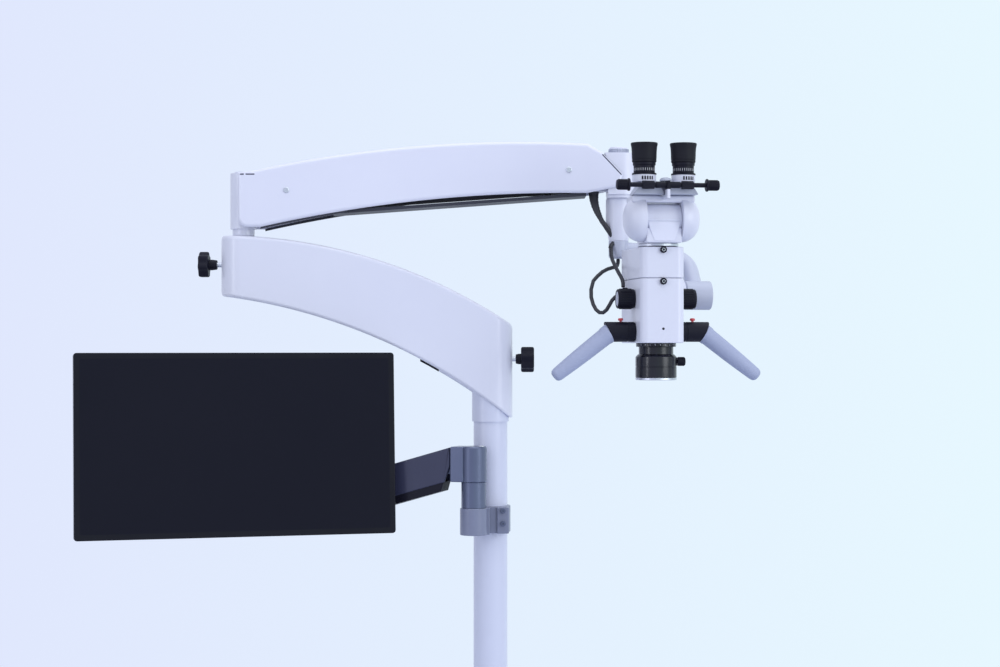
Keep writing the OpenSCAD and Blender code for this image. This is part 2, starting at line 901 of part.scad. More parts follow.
module elbow_brake_knob() {
    neck_end_x = elbow_knob_x - elbow_neck_l;
    color(black_colour)
        translate([-neck_end_x, 0, elbow_brake_z])
            rotate([0, -90, 0])
                star_knob(neck_end_x - lower_reach - elbow_pin_r - face_gap, elbow_knob_x - neck_end_x, elbow_knob_t);
}

module column_brake_knob() {
    neck_start_x = column_knob_x - column_neck_l;
    color(black_colour)
        translate([neck_start_x, 0, column_brake_z])
            rotate([0, 90, 0])
                star_knob(neck_start_x - column_r - face_gap, column_knob_x - neck_start_x, column_knob_t);
}

// Upper arm

module at_pivots(places, r) {
    for (p = places)
        translate(p)
            circle(r);
}

module elbow_ear() {
    difference() {
        union() {
            polygon([
                [elbow_x + post_r / 2, post_top_z - ear_top_r],
                [elbow_x + post_r / 2, post_z + ear_top_r],
                pivot_1 - [0, pivot_drop + ear_pin_r * ear_share],
                pivot_1 - [-ear_pin_r * ear_share, pivot_drop],
                pivot_1 + [ear_top_r * ear_share, 0],
                pivot_1 + [0, ear_top_r]
            ]);
            at_pivots([pivot_1], ear_top_r);
            at_pivots([pivot_1 - [0, pivot_drop]], ear_pin_r);
        }
        at_pivots([pivot_1, pivot_1 - [0, pivot_drop]], pin_r + running_gap);
    }
}

module elbow_yoke() {
    color(paint_colour) {
        translate([elbow_x, 0, boss_top_z - elbow_pin_l])
            cylinder(r = elbow_pin_r, h = elbow_pin_l + cut);
        translate([elbow_x, 0, boss_top_z])
            cylinder(r = neck_r, h = post_z - boss_top_z);
        translate([elbow_x, 0, post_z])
            cylinder(r = post_r, h = post_top_z - post_z);
        translate([elbow_x, 0, post_top_z])
            cylinder(r = cap_disc_r, h = cap_disc_h);
        side_plate(ear_in_y, ear_in_y + ear_t)
            elbow_ear();
        side_plate(-ear_in_y - ear_t, -ear_in_y)
            elbow_ear();
    }
}

module cover_outline() {
    corner = [cover_back_x + cover_corner, cover_heel_z + cover_corner];
    polygon(concat(
        [[cover_back_x, cover_top_left.y - cover_wall]],
        arc(corner, cover_corner, 180, 270, arc_steps / 4),
        bow(cover_low_left, cover_low_right, cover_low_rise, arc_steps),
        [cover_tip_low, cover_tip, cover_nose],
        reversed(bow(cover_top_left, cover_top_right, cover_top_rise, arc_steps))
    ));
}

module arm_cover() {
    drop = [0, cover_wall];
    slot_l = cover_slot_x - cover_back_x + cut;
    top_z = cover_top_right.y + cover_wall + cut;
    color(paint_colour)
        difference() {
            side_plate(-arm_half_w, arm_half_w)
                cover_outline();
            side_plate(-cover_in, cover_in) {
                polygon(concat(
                    [[cover_back_x - cut, post_z - arm_half_w]],
                    [[cover_tip.x + cut, post_z - arm_half_w]],
                    [cover_nose - drop],
                    reversed(bow(cover_top_left - drop, cover_top_right - drop, cover_top_rise, arc_steps)),
                    [[cover_back_x - cut, cover_top_left.y - cover_wall]]
                ));
                translate([cover_back_x - cut, post_z])
                    square([slot_l, top_z - post_z]);
                translate([cover_nose.x, post_z])
                    square([cover_tip.x - cover_nose.x + cut, top_z - post_z]);
            }
            side_plate(-arm_half_w - cut, arm_half_w + cut)
                at_pivots([pivot_1, pivot_2], pin_r);
        }
}

// Puts its children in the beam's frame, +X along it
module at_beam() {
    translate([pivot_1.x, 0, pivot_1.y])
        rotate([0, -beam_slope, 0])
            children();
}

module bar_outline(l, half_h) {
    difference() {
        union() {
            translate([0, -half_h])
                square([l, 2 * half_h]);
            circle(half_h);
            translate([l, 0])
                circle(half_h);
        }
        circle(pin_r);
        translate([l, 0])
            circle(pin_r);
    }
}

module arm_beam() {
    color(casting_colour)
        at_beam() {
            side_plate(-beam_half_w, beam_half_w)
                bar_outline(beam_l, beam_half_h);
            for (x = [spring_start - spring_lug_t, spring_start + spring_l])
                translate([x, -beam_half_w, beam_half_h - cut])
                    cube([spring_lug_t, 2 * beam_half_w, spring_lug_h - beam_half_h + cut]);
        }
}

module lift_spring() {
    color(steel_colour)
        at_beam()
            cross_rod(spring_start, spring_start + spring_l, 0, beam_half_h + spring_r, spring_r);
}

module lower_link() {
    below = -pivot_drop * cos(beam_slope);
    shift = -pivot_drop * sin(beam_slope);
    color(dark_colour)
        at_beam() {
            translate([shift, 0, below]) {
                side_plate(-beam_half_w, beam_half_w)
                    union() {
                        bar_outline(beam_l, link_half_h);
                        at_pivots([[0, 0], [beam_l, 0]], pin_r);
                    }
                side_plate(-ear_in_y - ear_t, ear_in_y + ear_t)
                    at_pivots([[0, 0], [beam_l, 0]], pin_r);
            }
            translate([tray_start, -tray_half_w, -tray_drop - tray_t])
                cube([tray_end - tray_start, 2 * tray_half_w, tray_t]);
            for (x = [tray_start + 2 * tray_t, tray_end - tray_half_w * 2])
                translate([x, -beam_half_w, -tray_drop - tray_t / 2])
                    cube([tray_t, 2 * beam_half_w, tray_drop + below]);
        }
}

module pivot_pins() {
    color(steel_colour)
        side_plate(-arm_half_w, arm_half_w)
            at_pivots([pivot_1, pivot_2], pin_r);
    color(steel_colour)
        for (y = [-arm_half_w - cover_wall / 2, arm_half_w])
            side_plate(y, y + cover_wall / 2)
                at_pivots([pivot_1, pivot_2], pin_head_r);
}

module block_ear() {
    low_pin = pivot_2 - [0, pivot_drop];
    difference() {
        union() {
            polygon([
                pivot_2 + [0, ear_top_r],
                [pivot_2.x + 2 * ear_top_r, block_ear_top_z],
                [block_face_x + cut, block_ear_top_z],
                [block_face_x + cut, block_ear_low_z],
                low_pin + [ear_pin_r * ear_share, -ear_pin_r / 2],
                low_pin + [-ear_pin_r * ear_share, 0],
                pivot_2 + [-ear_top_r * ear_share, 0]
            ]);
            at_pivots([pivot_2], ear_top_r);
            at_pivots([low_pin], ear_pin_r);
        }
        at_pivots([pivot_2, low_pin], pin_r + running_gap);
    }
}

module end_block() {
    face_step = [5, 17];
    color(paint_colour)
        difference() {
            union() {
                intersection() {
                    translate([swivel_x, 0, block_low_z]) {
                        cylinder(r = block_r, h = block_top_z - block_low_z);
                        translate([-block_r, -block_r, 0])
                            cube([block_r, 2 * block_r, block_top_z - block_low_z]);
                    }
                    side_plate(-block_r, block_r)
                        polygon([
                            [block_face_x, block_low_z],
                            [swivel_x + block_r, block_low_z],
                            [swivel_x + block_r, block_top_z],
                            [block_face_x - face_step.x, block_top_z],
                            [block_face_x, block_top_z - face_step.y]
                        ]);
                }
                intersection() {
                    translate([swivel_x, 0, block_low_z - block_lip])
                        cylinder(r = block_lip_r, h = block_lip);
                    translate([block_face_x, -block_r, block_low_z - block_lip])
                        cube([2 * block_r, 2 * block_r, block_lip]);
                }
                side_plate(ear_in_y, ear_in_y + ear_t)
                    block_ear();
                side_plate(-ear_in_y - ear_t, -ear_in_y)
                    block_ear();
                translate([block_face_x - shelf_l, -shelf_half_w, shelf_z])
                    cube([shelf_l + cut, 2 * shelf_half_w, shelf_h]);
            }
            translate([swivel_x, 0, block_low_z - block_lip - cut])
                cylinder(r = swivel_shaft_r + running_gap, h = block_top_z - block_low_z + block_lip + 2 * cut);
        }
}

module arm_cable() {
    color(black_colour)
        cord(arm_cord_route, [
            for (i = [0:len(arm_cord_route) - 1])
                max(arm_cord_r, arm_boot_r - i * (arm_boot_r - arm_cord_r) / (len(arm_cord_route) - 3))
        ]);
}

module swivel_knob() {
    color(casting_colour)
        translate([swivel_x, 0, block_top_z]) {
            cylinder(r = swivel_knob_r, h = swivel_knob_h);
            translate([0, 0, -knob_spigot_l])
                cylinder(r = knob_spigot_r, h = knob_spigot_l + cut);
        }
}

// Head suspension

module at_head() {
    translate([head_x, head_y, 0])
        rotate([0, 0, head_yaw])
            children();
}

module swivel_housing() {
    top_z = block_low_z - block_lip;
    shaft_top_z = block_top_z - face_gap;
    color(paint_colour)
        translate([swivel_x, 0, 0])
            difference() {
                rotate_extrude()
                    polygon([
                        [0, housing_low_z],
                        [housing_low_r, housing_low_z],
                        [swivel_r, housing_taper_z],
                        [swivel_r, top_z],
                        [swivel_shaft_r, top_z],
                        [swivel_shaft_r, shaft_top_z],
                        [0, shaft_top_z]
                    ]);
                translate([0, 0, block_top_z - knob_spigot_l - face_gap])
                    cylinder(r = knob_spigot_r + running_gap, h = knob_spigot_l + cut);
            }
}

module yoke_arm() {
    color(paint_colour)
        at_head()
            difference() {
                union() {
                    translate([yoke_start.x, yoke_start.y, yoke_cup_z])
                        cylinder(r = housing_low_r, h = housing_low_z - yoke_cup_z);
                    rod(yoke_start, yoke_bend_1, yoke_r);
                    translate(yoke_bend_1)
                        rotate([90, 0, 0])
                            sphere(yoke_ball_r);
                    rod(yoke_bend_1, yoke_bend_2, yoke_r);
                    translate(yoke_bend_2)
                        rotate([0, 90, 0])
                            sphere(yoke_ball_r);
                    rod(yoke_bend_2, yoke_end, yoke_r);
                    cross_rod(ring_in_x, ring_out_x, tilt_y, tilt_z, tilt_r);
                }
                cross_rod(ring_in_x - cut, ring_bore_x, tilt_y, tilt_z, swivel_shaft_r + running_gap);
            }
}

module tilt_hub() {
    color(paint_colour)
        at_head() {
            cross_rod(head_half_w, hub_end_x, tilt_y, tilt_z, tilt_r);
            cross_rod(head_half_w, tilt_shaft_end_x, tilt_y, tilt_z, swivel_shaft_r);
        }
}

module head_cable() {
    color(rubber_colour)
        cord(head_cord_route, [for (p = head_cord_route) hose_r]);
}

module loop_cable() {
    color(rubber_colour)
        cord(loop_cord_route, [for (p = loop_cord_route) hose_r]);
}

// Head

module head_plan(inset) {
    translate([0, head_middle_y])
        round_rect(2 * (head_half_w - inset), head_front + head_back - 2 * inset, head_corner_r - inset);
}

module light_paths(r, z0, z1) {
    for (x = [-light_path_x, light_path_x])
        translate([x, 0, z0])
            cylinder(r = r, h = z1 - z0);
}

module rear_room(z0, z1) {
    translate([head_wall - head_half_w, rear_room_y, z0])
        cube([2 * (head_half_w - head_wall), head_back - head_corner_r - rear_room_y, z1 - z0]);
}

module cap_screw_holes() {
    for (z = cap_screw_z)
        translate([0, cap_screw_shank_l - head_front, z])
            rotate([90, 0, 0])
                cylinder(r = cap_screw_shank_r, h = cap_screw_shank_l + cut);
}

module head_body() {
    color(paint_colour)
        at_head()
            difference() {
                union() {
                    translate([0, 0, head_low_z])
                        linear_extrude(head_seam_z - head_low_z)
                            head_plan(0);
                    cross_rod(-head_half_w - gland_l, -head_half_w + cut, tilt_y, tilt_z, gland_r);
                }
                light_paths(light_path_r, head_low_z - cut, head_seam_z + cut);
                cross_rod(-zoom_room_x, zoom_room_x, 0, zoom_z, zoom_drum_r + side_gap);
                cross_rod(-head_half_w - cut, head_half_w + cut, 0, zoom_z, zoom_shaft_r + running_gap);
                rear_room(head_low_z + head_wall, head_seam_z + cut);
                for (side = [-1, 1])
                    mirror([side < 0 ? 1 : 0, 0, 0])
                        cross_rod(head_half_w - joint_stub_l - face_gap, head_half_w + cut, handle_y, handle_z,
                            joint_stub_r + running_gap);
                cap_screw_holes();
            }
}

module splitter_stage() {
    color(paint_colour)
        at_head()
            difference() {
                translate([0, 0, head_seam_z])
                    linear_extrude(head_top_z - head_seam_z)
                        head_plan(0);
                light_paths(light_path_r, head_seam_z - cut, head_top_z + cut);
                rear_room(head_seam_z - cut, head_top_z - head_wall);
                cap_screw_holes();
            }
}

module cap_screws() {
    color(black_colour)
        at_head()
            for (z = cap_screw_z)
                translate([0, -head_front, z])
                    rotate([90, 0, 0])
                        difference() {
                            union() {
                                cylinder(r = cap_screw_r, h = cap_screw_h);
                                translate([0, 0, -cap_screw_shank_l])
                                    cylinder(r = cap_screw_shank_r, h = cap_screw_shank_l);
                            }
                            translate([0, 0, cap_screw_h / 2])
                                cylinder(r = socket_key_r, h = cap_screw_h);
                        }
}

module zoom_drum() {
    color(steel_colour)
        at_head()
            difference() {
                union() {
                    cross_rod(face_gap - zoom_room_x, zoom_room_x - face_gap, 0, zoom_z, zoom_drum_r);
                    cross_rod(-head_half_w - zoom_knob_l / 2, head_half_w + zoom_knob_l / 2, 0, zoom_z, zoom_shaft_r);
                }
                light_paths(light_path_r, zoom_z - zoom_drum_r - cut, zoom_z + zoom_drum_r + cut);
            }
}

module zoom_knob(side) {
    color(black_colour)
        at_head()
            mirror([side < 0 ? 1 : 0, 0, 0])
                difference() {
                    cross_rod(head_half_w + face_gap, head_half_w + zoom_knob_l, 0, zoom_z, zoom_knob_r);
                    cross_rod(head_half_w, head_half_w + zoom_knob_l / 2, 0, zoom_z, zoom_shaft_r);
                }
}

// Objective

module objective_mount() {
    color(black_colour)
        at_head()
            rotate_extrude()
                polygon([
                    [spigot_bore_r, spigot_low_z],
                    [lens_r, spigot_low_z],
                    [lens_r, barrel_top_z],
                    [objective_neck_r, barrel_top_z],
                    [objective_neck_r, collar_z],
                    [collar_r, collar_z],
                    [collar_r, head_low_z],
                    [spigot_bore_r, head_low_z]
                ]);
}

module objective_barrel() {
    rim_z = barrel_low_z + casting_wall;
    color(black_colour)
        at_head()
            difference() {
                rotate_extrude()
                    polygon([
                        [lens_r - cut, barrel_low_z],
                        [barrel_r, barrel_low_z],
                        [barrel_r, barrel_top_z],
                        [lens_r, barrel_top_z],
                        [lens_r, rim_z],
                        [lens_r - cut, rim_z]
                    ]);
                cross_rod(0, barrel_r + cut, 0, focus_z, focus_shaft_r + running_gap);
            }
}

module objective_lens() {
    color(glass_colour)
        at_head()
            translate([0, 0, lens_low_z])
                cylinder(r = lens_r - running_gap, h = lens_t);
}

module focus_knob() {
    color(black_colour)
        at_head() {
            cross_rod(lens_r + face_gap, focus_knob_x + cut, 0, focus_z, focus_shaft_r);
            cross_rod(focus_knob_x, focus_knob_x + focus_knob_l, 0, focus_z, focus_knob_r);
        }
}

// Handles, each side is the mirror image of the other

module on_side(side) {
    at_head()
        mirror([side < 0 ? 1 : 0, 0, 0])
            children();
}

// Puts its children at the joint's slanted face, +Z along the grip
module at_grip() {
    top_x = head_half_w + handle_joint_l;
    middle_x = top_x - handle_joint_r * tan(grip_fall);
    translate([middle_x, handle_y, handle_z])
        rotate([0, 90 + grip_fall, 0])
            children();
}

module handle_joint(side) {
    joint_end = head_half_w + handle_joint_l;
    slab = 2 * joint_end;
    color(black_colour)
        on_side(side) {
            cross_rod(head_half_w - joint_stub_l, head_half_w + cut, handle_y, handle_z, joint_stub_r);
            difference() {
                cross_rod(head_half_w + face_gap, joint_end, handle_y, handle_z, handle_joint_r);
                at_grip()
                    translate([-slab / 2, -slab / 2, 0])
                        cube([slab, slab, slab]);
                translate([button_x, handle_y, handle_z + handle_joint_r - button_stem_l])
                    cylinder(r = button_stem_r + running_gap, h = button_stem_l + cut);
            }
        }
}

module handle_grip(side) {
    color(grip_colour)
        on_side(side)
            at_grip() {
                cylinder(r1 = grip_root_r, r2 = grip_tip_r, h = grip_l - grip_end_round);
                translate([0, 0, grip_l - grip_end_round])
                    cylinder(r1 = grip_tip_r, r2 = grip_tip_r - grip_end_round, h = grip_end_round);
            }
}

module release_button(side) {
    low_z = handle_z + handle_joint_r + button_lift;
    color(red_colour)
        on_side(side)
            translate([button_x, handle_y, low_z]) {
                cylinder(r = button_r, h = button_h);
                translate([0, 0, button_lift - button_stem_l])
                    cylinder(r = button_stem_r, h = button_stem_l - button_lift + cut);
            }
}

// Binocular

module binocular_base() {
    color(paint_colour)
        at_head()
            difference() {
                union() {
                    translate([0, mount_ring_y, head_top_z])
                        cylinder(r = mount_ring_r, h = mount_ring_h);
                    translate([face_gap - cheek_in_x, foot_front_y, head_top_z + mount_ring_h - cut])
                        cube([2 * (cheek_in_x - face_gap), foot_back_y - foot_front_y,
                            foot_top_z - head_top_z - mount_ring_h + cut]);
                    cross_rod(face_gap - cheek_in_x, cheek_in_x - face_gap, hinge_y, hinge_z, hinge_barrel_r);
                    cross_rod(-hinge_shaft_x, hinge_shaft_x, hinge_y, hinge_z, hinge_shaft_r);
                }
                light_paths(light_path_r, head_top_z - cut, foot_top_z - mount_ring_h);
            }
}

// A cheek of the hinge, domed on its outer side
module cheek() {
    w = cheek_out_x - cheek_in_x;
    translate([cheek_in_x, hinge_y, hinge_z])
        rotate([0, 90, 0])
            rotate_extrude()
                polygon(concat(
                    [[0, 0], [cheek_r, 0]],
                    arc([cheek_r - cheek_round, w - cheek_round], cheek_round, 0, 90, arc_steps / 4),
                    [[0, w]]
                ));
}

module binocular_block() {
    color(paint_colour)
        at_head()
            difference() {
                union() {
                    cheek();
                    mirror([1, 0, 0])
                        cheek();
                    translate([-base_out_x, bridge_front_y, bridge_low_z])
                        cube([2 * base_out_x, bridge_back_y - bridge_front_y, bridge_top_z - bridge_low_z]);
                    translate([-bracket_half_w, -bar_front - bracket_depth, bracket_low_z])
                        cube([2 * bracket_half_w, bar_front + bracket_depth + bridge_front_y + cut,
                            bridge_top_z - bracket_low_z]);
                    translate([-bracket_half_w, -bar_front - bracket_depth, bracket_low_z])
                        cube([2 * bracket_half_w, bar_front + bracket_depth + base_front_y - side_gap,
                            bracket_top_z - bracket_low_z]);
                }
                cross_rod(-hinge_shaft_x - face_gap, hinge_shaft_x + face_gap, hinge_y, hinge_z,
                    hinge_shaft_r + running_gap);
                cross_rod(-bracket_half_w - cut, bracket_half_w + cut, -bar_front, bar_z, bar_mid_r + running_gap);
            }
}

module eyepiece_tube(side) {
    color(paint_colour)
        on_side(side)
            difference() {
                union() {
                    translate([base_in_x, base_front_y, bridge_top_z])
                        cube([base_out_x - base_in_x, base_back_y - base_front_y, base_top_z - bridge_top_z]);
                    translate([eye_x, -eye_front, base_top_z])
                        cylinder(r = tube_ring_r, h = tube_ring_top_z - base_top_z);
                    translate([eye_x, -eye_front, tube_ring_top_z])
                        cylinder(r = tube_flange_r, h = tube_flange_z - tube_ring_top_z);
                    translate([eye_x - nut_half_w, base_front_y - nut_depth, bar_z - nut_half_h])
                        cube([2 * nut_half_w, nut_depth + cut, 2 * nut_half_h]);
                }
                translate([eye_x, -eye_front, tube_flange_z - eye_spigot_l - face_gap])
                    cylinder(r = eye_spigot_r + running_gap, h = eye_spigot_l + face_gap + cut);
                translate([eye_x, -eye_front, bridge_top_z - cut])
                    cylinder(r = light_path_r, h = tube_flange_z - bridge_top_z);
                cross_rod(eye_x - nut_half_w - cut, eye_x + nut_half_w + cut, -bar_front, bar_z, bar_r + running_gap);
            }
}

module eyepiece(side) {
    color(black_colour)
        on_side(side)
            translate([eye_x, -eye_front, 0])
                rotate_extrude()
                    polygon([
                        [eye_bore_r, tube_flange_z - eye_spigot_l],
                        [eye_spigot_r, tube_flange_z - eye_spigot_l],
                        [eye_spigot_r, tube_flange_z],
                        [eye_waist_r, tube_flange_z],
                        [eye_waist_r, eye_waist_z],
                        [eye_cup_r, eye_cup_z],
                        [eye_rim_r, eye_top_z],
                        [eye_rim_r - cover_wall, eye_top_z],
                        [eye_bore_r, eye_waist_z]
                    ]);
}

module spacing_bar() {
    y = -bar_front;
    color(black_colour)
        at_head() {
            cross_rod(-bar_end_x, bar_end_x, y, bar_z, bar_r);
            cross_rod(-bar_mid_x, bar_mid_x, y, bar_z, bar_mid_r);
            for (side = [0, 1])
                mirror([side, 0, 0]) {
                    cross_rod(bar_flange_x, bar_knob_x, y, bar_z, bar_flange_r);
                    cross_rod(bar_knob_x, bar_end_x, y, bar_z, bar_knob_r);
                }
        }
}

// Screen and its arm

module at_screen_post() {
    translate([screen_post_x, screen_post_y, 0])
        children();
}

module column_clamp() {
    color(dark_colour)
        difference() {
            union() {
                translate([0, 0, clamp_z])
                    cylinder(r = column_r + clamp_wall, h = clamp_h);
                at_screen_post() {
                    translate([0, 0, clamp_z])
                        cylinder(r = clamp_collar_r, h = clamp_h);
                    translate([0, 0, clamp_z])
                        cylinder(r = screen_post_r, h = knuckle_z - clamp_z);
                    translate([0, 0, knuckle_z - cut])
                        cylinder(r = screen_pin_r, h = screen_pin_l + cut);
                }
                translate([screen_post_x, screen_post_y, clamp_z])
                    cube([-screen_post_x, -screen_post_y, clamp_h]);
                translate([clamp_ear_x[0], clamp_ear_y[0], clamp_z])
                    cube([clamp_ear_x[1] - clamp_ear_x[0], clamp_ear_y[1] - clamp_ear_y[0], clamp_h]);
            }
            translate([0, 0, clamp_z - cut])
                cylinder(r = column_r, h = clamp_h + 2 * cut);
            for (z = clamp_bolt_z)
                translate([clamp_bolt_x, clamp_ear_y[0] + clamp_bolt_sink, z])
                    rotate([90, 0, 0])
                        cylinder(r = clamp_bolt_r, h = clamp_bolt_sink + cut);
        }
}

module clamp_bolts() {
    color(steel_colour)
        for (z = clamp_bolt_z)
            translate([clamp_bolt_x, clamp_ear_y[0], z])
                rotate([90, 0, 0]) {
                    cylinder(r = clamp_bolt_head_r, h = clamp_bolt_head_h);
                    translate([0, 0, -clamp_bolt_sink])
                        cylinder(r = clamp_bolt_r, h = clamp_bolt_sink + cut);
                }
}

// Puts its children at the knuckle, +X along the link's direction
module at_link_yaw() {
    at_screen_post()
        rotate([0, 0, link_yaw])
            children();
}

module screen_knuckle() {
    color(dark_colour)
        at_link_yaw()
            difference() {
                union() {
                    translate([0, 0, knuckle_z])
                        cylinder(r = knuckle_r, h = knuckle_h);
                    translate([0, -knuckle_half_w, knuckle_z])
                        cube([knuckle_face_x, 2 * knuckle_half_w, knuckle_h]);
                    translate([knuckle_r / 2, -hinge_tongue, link_hinge_z - hinge_eye_r])
                        cube([link_hinge_x - knuckle_r / 2, 2 * hinge_tongue, 2 * hinge_eye_r]);
                    cross_eye(hinge_eye_r, hinge_tongue);
                }
                cross_eye(hinge_pin_r + running_gap, hinge_tongue + cut);
                translate([0, 0, knuckle_z - cut])
                    cylinder(r = screen_pin_r + running_gap, h = screen_pin_l + face_gap + cut);
            }
}

module cross_eye(r, half_w) {
    side_plate(-half_w, half_w)
        translate([link_hinge_x, link_hinge_z])
            circle(r);
}

// Puts its children at the link's first hinge, +X along the link
module at_link() {
    at_link_yaw()
        translate([link_hinge_x, 0, link_hinge_z])
            rotate([0, link_fall, 0])
                children();
}

// Place of the link's end at a height, upright at the given fall
function heel_x(z, fall) = -(link_face + z * sin(fall)) / cos(fall);

module link_heel() {
    half_h = screen_link_half_h;
    middle = link_fall + link_drop / 2;
    polygon([
        [heel_x(half_h, link_fall), half_h],
        -link_face / cos(link_drop / 2) * [cos(middle), sin(middle)],
        [heel_x(-half_h, link_fall + link_drop), -half_h],
        [2 * link_body_x, -half_h],
        [2 * link_body_x, half_h]
    ]);
}

module screen_link() {
    color(dark_colour)
        at_link() {
            side_plate(-screen_link_half_w, screen_link_half_w) {
                translate([(link_body_x + link_body_end) / 2, 0])
                    round_rect(link_body_end - link_body_x, 2 * screen_link_half_h, hinge_pin_r);
                at_pivots([[0, 0], [link_l, 0]], hinge_pin_r);
            }
            for (y = [-screen_link_half_w, hinge_ear_in])
                side_plate(y, y + screen_link_half_w - hinge_ear_in) {
                    link_heel();
                    translate([link_body_end - cut, -hinge_eye_r])
                        square([link_l - link_body_end + cut, 2 * hinge_eye_r]);
                    translate([link_l, 0])
                        circle(hinge_eye_r);
                }
        }
}

module screen_forearm() {
    color(dark_colour) {
        at_link_yaw()
            translate([link_end_x, 0, link_end_z])
                difference() {
                    union() {
                        side_plate(-hinge_tongue, hinge_tongue)
                            circle(hinge_eye_r);
                        translate([-bracket_block, -hinge_tongue, -bracket_drop])
                            cube([2 * bracket_block, 2 * hinge_tongue, bracket_drop]);
                    }
                    side_plate(-hinge_tongue - cut, hinge_tongue + cut)
                        circle(hinge_pin_r + running_gap);
                }
        translate([link_end.x, link_end.y, forearm_z])
            rotate([0, 0, forearm_turn])
                translate([0, -forearm_half_w, 0])
                    cube([forearm_l, 2 * forearm_half_w, forearm_h]);
        translate([pan_x, pan_place_y, forearm_z]) {
            cylinder(r = forearm_half_w + side_gap, h = pan_post_top_z - forearm_z);
            cylinder(r = pan_pin_r, h = pan_pin_top_z - forearm_z);
        }
    }
}

// Puts its children at the pan axis, +X along the screen
module at_pan() {
    translate([pan_x, pan_place_y, 0])
        rotate([0, 0, screen_yaw])
            children();
}

module screen_pan_head() {
    tilt_place = tilt_back - pan_y;
    color(dark_colour)
        at_pan()
            difference() {
                union() {
                    translate([0, 0, pan_post_top_z])
                        cylinder(r = pan_head_r, h = pan_head_top_z - pan_post_top_z);
                    translate([-tilt_barrel_x / 2, tilt_place, screen_z - tilt_barrel_r * 0.9])
                        cube([tilt_barrel_x, -tilt_place, 2 * tilt_barrel_r * 0.9]);
                    cross_rod(-tilt_barrel_x, tilt_barrel_x, tilt_place, screen_z, tilt_barrel_r);
                }
                translate([0, 0, pan_post_top_z - cut])
                    cylinder(r = pan_pin_r + running_gap, h = pan_pin_top_z - pan_post_top_z + face_gap + cut);
                cross_rod(-tilt_barrel_x - cut, tilt_barrel_x + cut, tilt_place, screen_z, tilt_pin_r + running_gap);
            }
}

// Puts its children at the tilt axis, with the screen's lean
module at_screen() {
    at_pan()
        translate([0, tilt_back - pan_y, screen_z])
            rotate([-screen_lean, 0, 0])
                children();
}

// A plate parallel to the screen, behind its front by the given distance
module screen_plate(w, h, t, front, r) {
    translate([0, front + t - tilt_back, 0])
        rotate([90, 0, 0])
            linear_extrude(t)
                round_rect(w, h, r);
}

module screen_case() {
    color(black_colour)
        at_screen() {
            difference() {
                screen_plate(screen_w, screen_h, screen_t, 0, screen_corner_r);
                screen_plate(screen_w - 2 * bezel, screen_h - 2 * bezel, glass_t + cut, -cut, screen_corner_r / 2);
            }
            screen_plate(bulge_w, bulge_h, bulge_d - screen_t + cut, screen_t - cut, bezel);
            for (x = [-tilt_barrel_x - face_gap - lug_t, tilt_barrel_x + face_gap])
                translate([x, bulge_d - cut - tilt_back, -lug_half_h])
                    cube([lug_t, tilt_back - bulge_d + cut + tilt_barrel_r, 2 * lug_half_h]);
            cross_rod(-tilt_barrel_x - lug_t, tilt_barrel_x + lug_t, 0, 0, tilt_pin_r);
        }
}

module screen_glass() {
    color(glass_colour)
        at_screen()
            screen_plate(screen_w - 2 * bezel, screen_h - 2 * bezel, glass_t, 0, screen_corner_r / 2);
}

base_frame();
base_cover();
column();
caster_fork(0);  // caster_fork_front_left
caster_fork(1);  // caster_fork_front_right
caster_fork(2);  // caster_fork_back_right
caster_fork(3);  // caster_fork_back_left
caster_wheel(0);  // caster_wheel_front_left
caster_wheel(1);  // caster_wheel_front_right
caster_wheel(2);  // caster_wheel_back_right
caster_wheel(3);  // caster_wheel_back_left
lower_arm_shell();
column_sleeve();
column_brake_knob();
elbow_brake_knob();
elbow_yoke();
arm_cover();
arm_beam();
lift_spring();
lower_link();
pivot_pins();
end_block();
arm_cable();
swivel_knob();
swivel_housing();
yoke_arm();
head_cable();
loop_cable();
tilt_hub();
head_body();
splitter_stage();
cap_screws();
objective_mount();
objective_barrel();
objective_lens();
focus_knob();
zoom_drum();
zoom_knob(-1);  // zoom_knob_left
zoom_knob(1);  // zoom_knob_right
handle_joint(-1);  // handle_joint_left
handle_joint(1);  // handle_joint_right
handle_grip(-1);  // handle_grip_left
handle_grip(1);  // handle_grip_right
release_button(-1);  // release_button_left
release_button(1);  // release_button_right
binocular_base();
binocular_block();
eyepiece_tube(-1);  // eyepiece_tube_left
eyepiece_tube(1);  // eyepiece_tube_right
eyepiece(-1);  // eyepiece_left
eyepiece(1);  // eyepiece_right
spacing_bar();
column_clamp();
clamp_bolts();
screen_knuckle();
screen_link();
screen_forearm();
screen_pan_head();
screen_case();
screen_glass();
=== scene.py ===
"""Dental microscope on a floor stand: the looks of its parts, its light and its camera.

Sizes are written in millimetres, the way a maker would, and become metres where a mesh is finished.
"""

import logging
import math
from dataclasses import dataclass
from enum import Enum
from typing import Iterable, Sequence

import bmesh
import bpy
from mathutils import Matrix, Vector


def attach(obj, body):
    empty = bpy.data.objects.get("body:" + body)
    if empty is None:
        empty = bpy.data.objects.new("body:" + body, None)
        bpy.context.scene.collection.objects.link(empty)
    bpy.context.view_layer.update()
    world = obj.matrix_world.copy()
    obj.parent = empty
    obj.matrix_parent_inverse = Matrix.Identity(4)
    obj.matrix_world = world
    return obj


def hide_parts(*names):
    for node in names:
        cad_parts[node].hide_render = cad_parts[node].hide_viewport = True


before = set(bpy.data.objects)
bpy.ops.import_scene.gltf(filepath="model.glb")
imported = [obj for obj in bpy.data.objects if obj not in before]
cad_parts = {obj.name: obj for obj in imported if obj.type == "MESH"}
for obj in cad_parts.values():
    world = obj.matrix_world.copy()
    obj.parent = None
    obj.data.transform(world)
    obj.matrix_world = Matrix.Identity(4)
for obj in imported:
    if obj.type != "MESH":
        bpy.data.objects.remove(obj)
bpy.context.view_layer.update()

LOG = logging.getLogger("microscope")
METRE = 0.001
Pair = tuple[float, float]
Point = tuple[float, float, float]


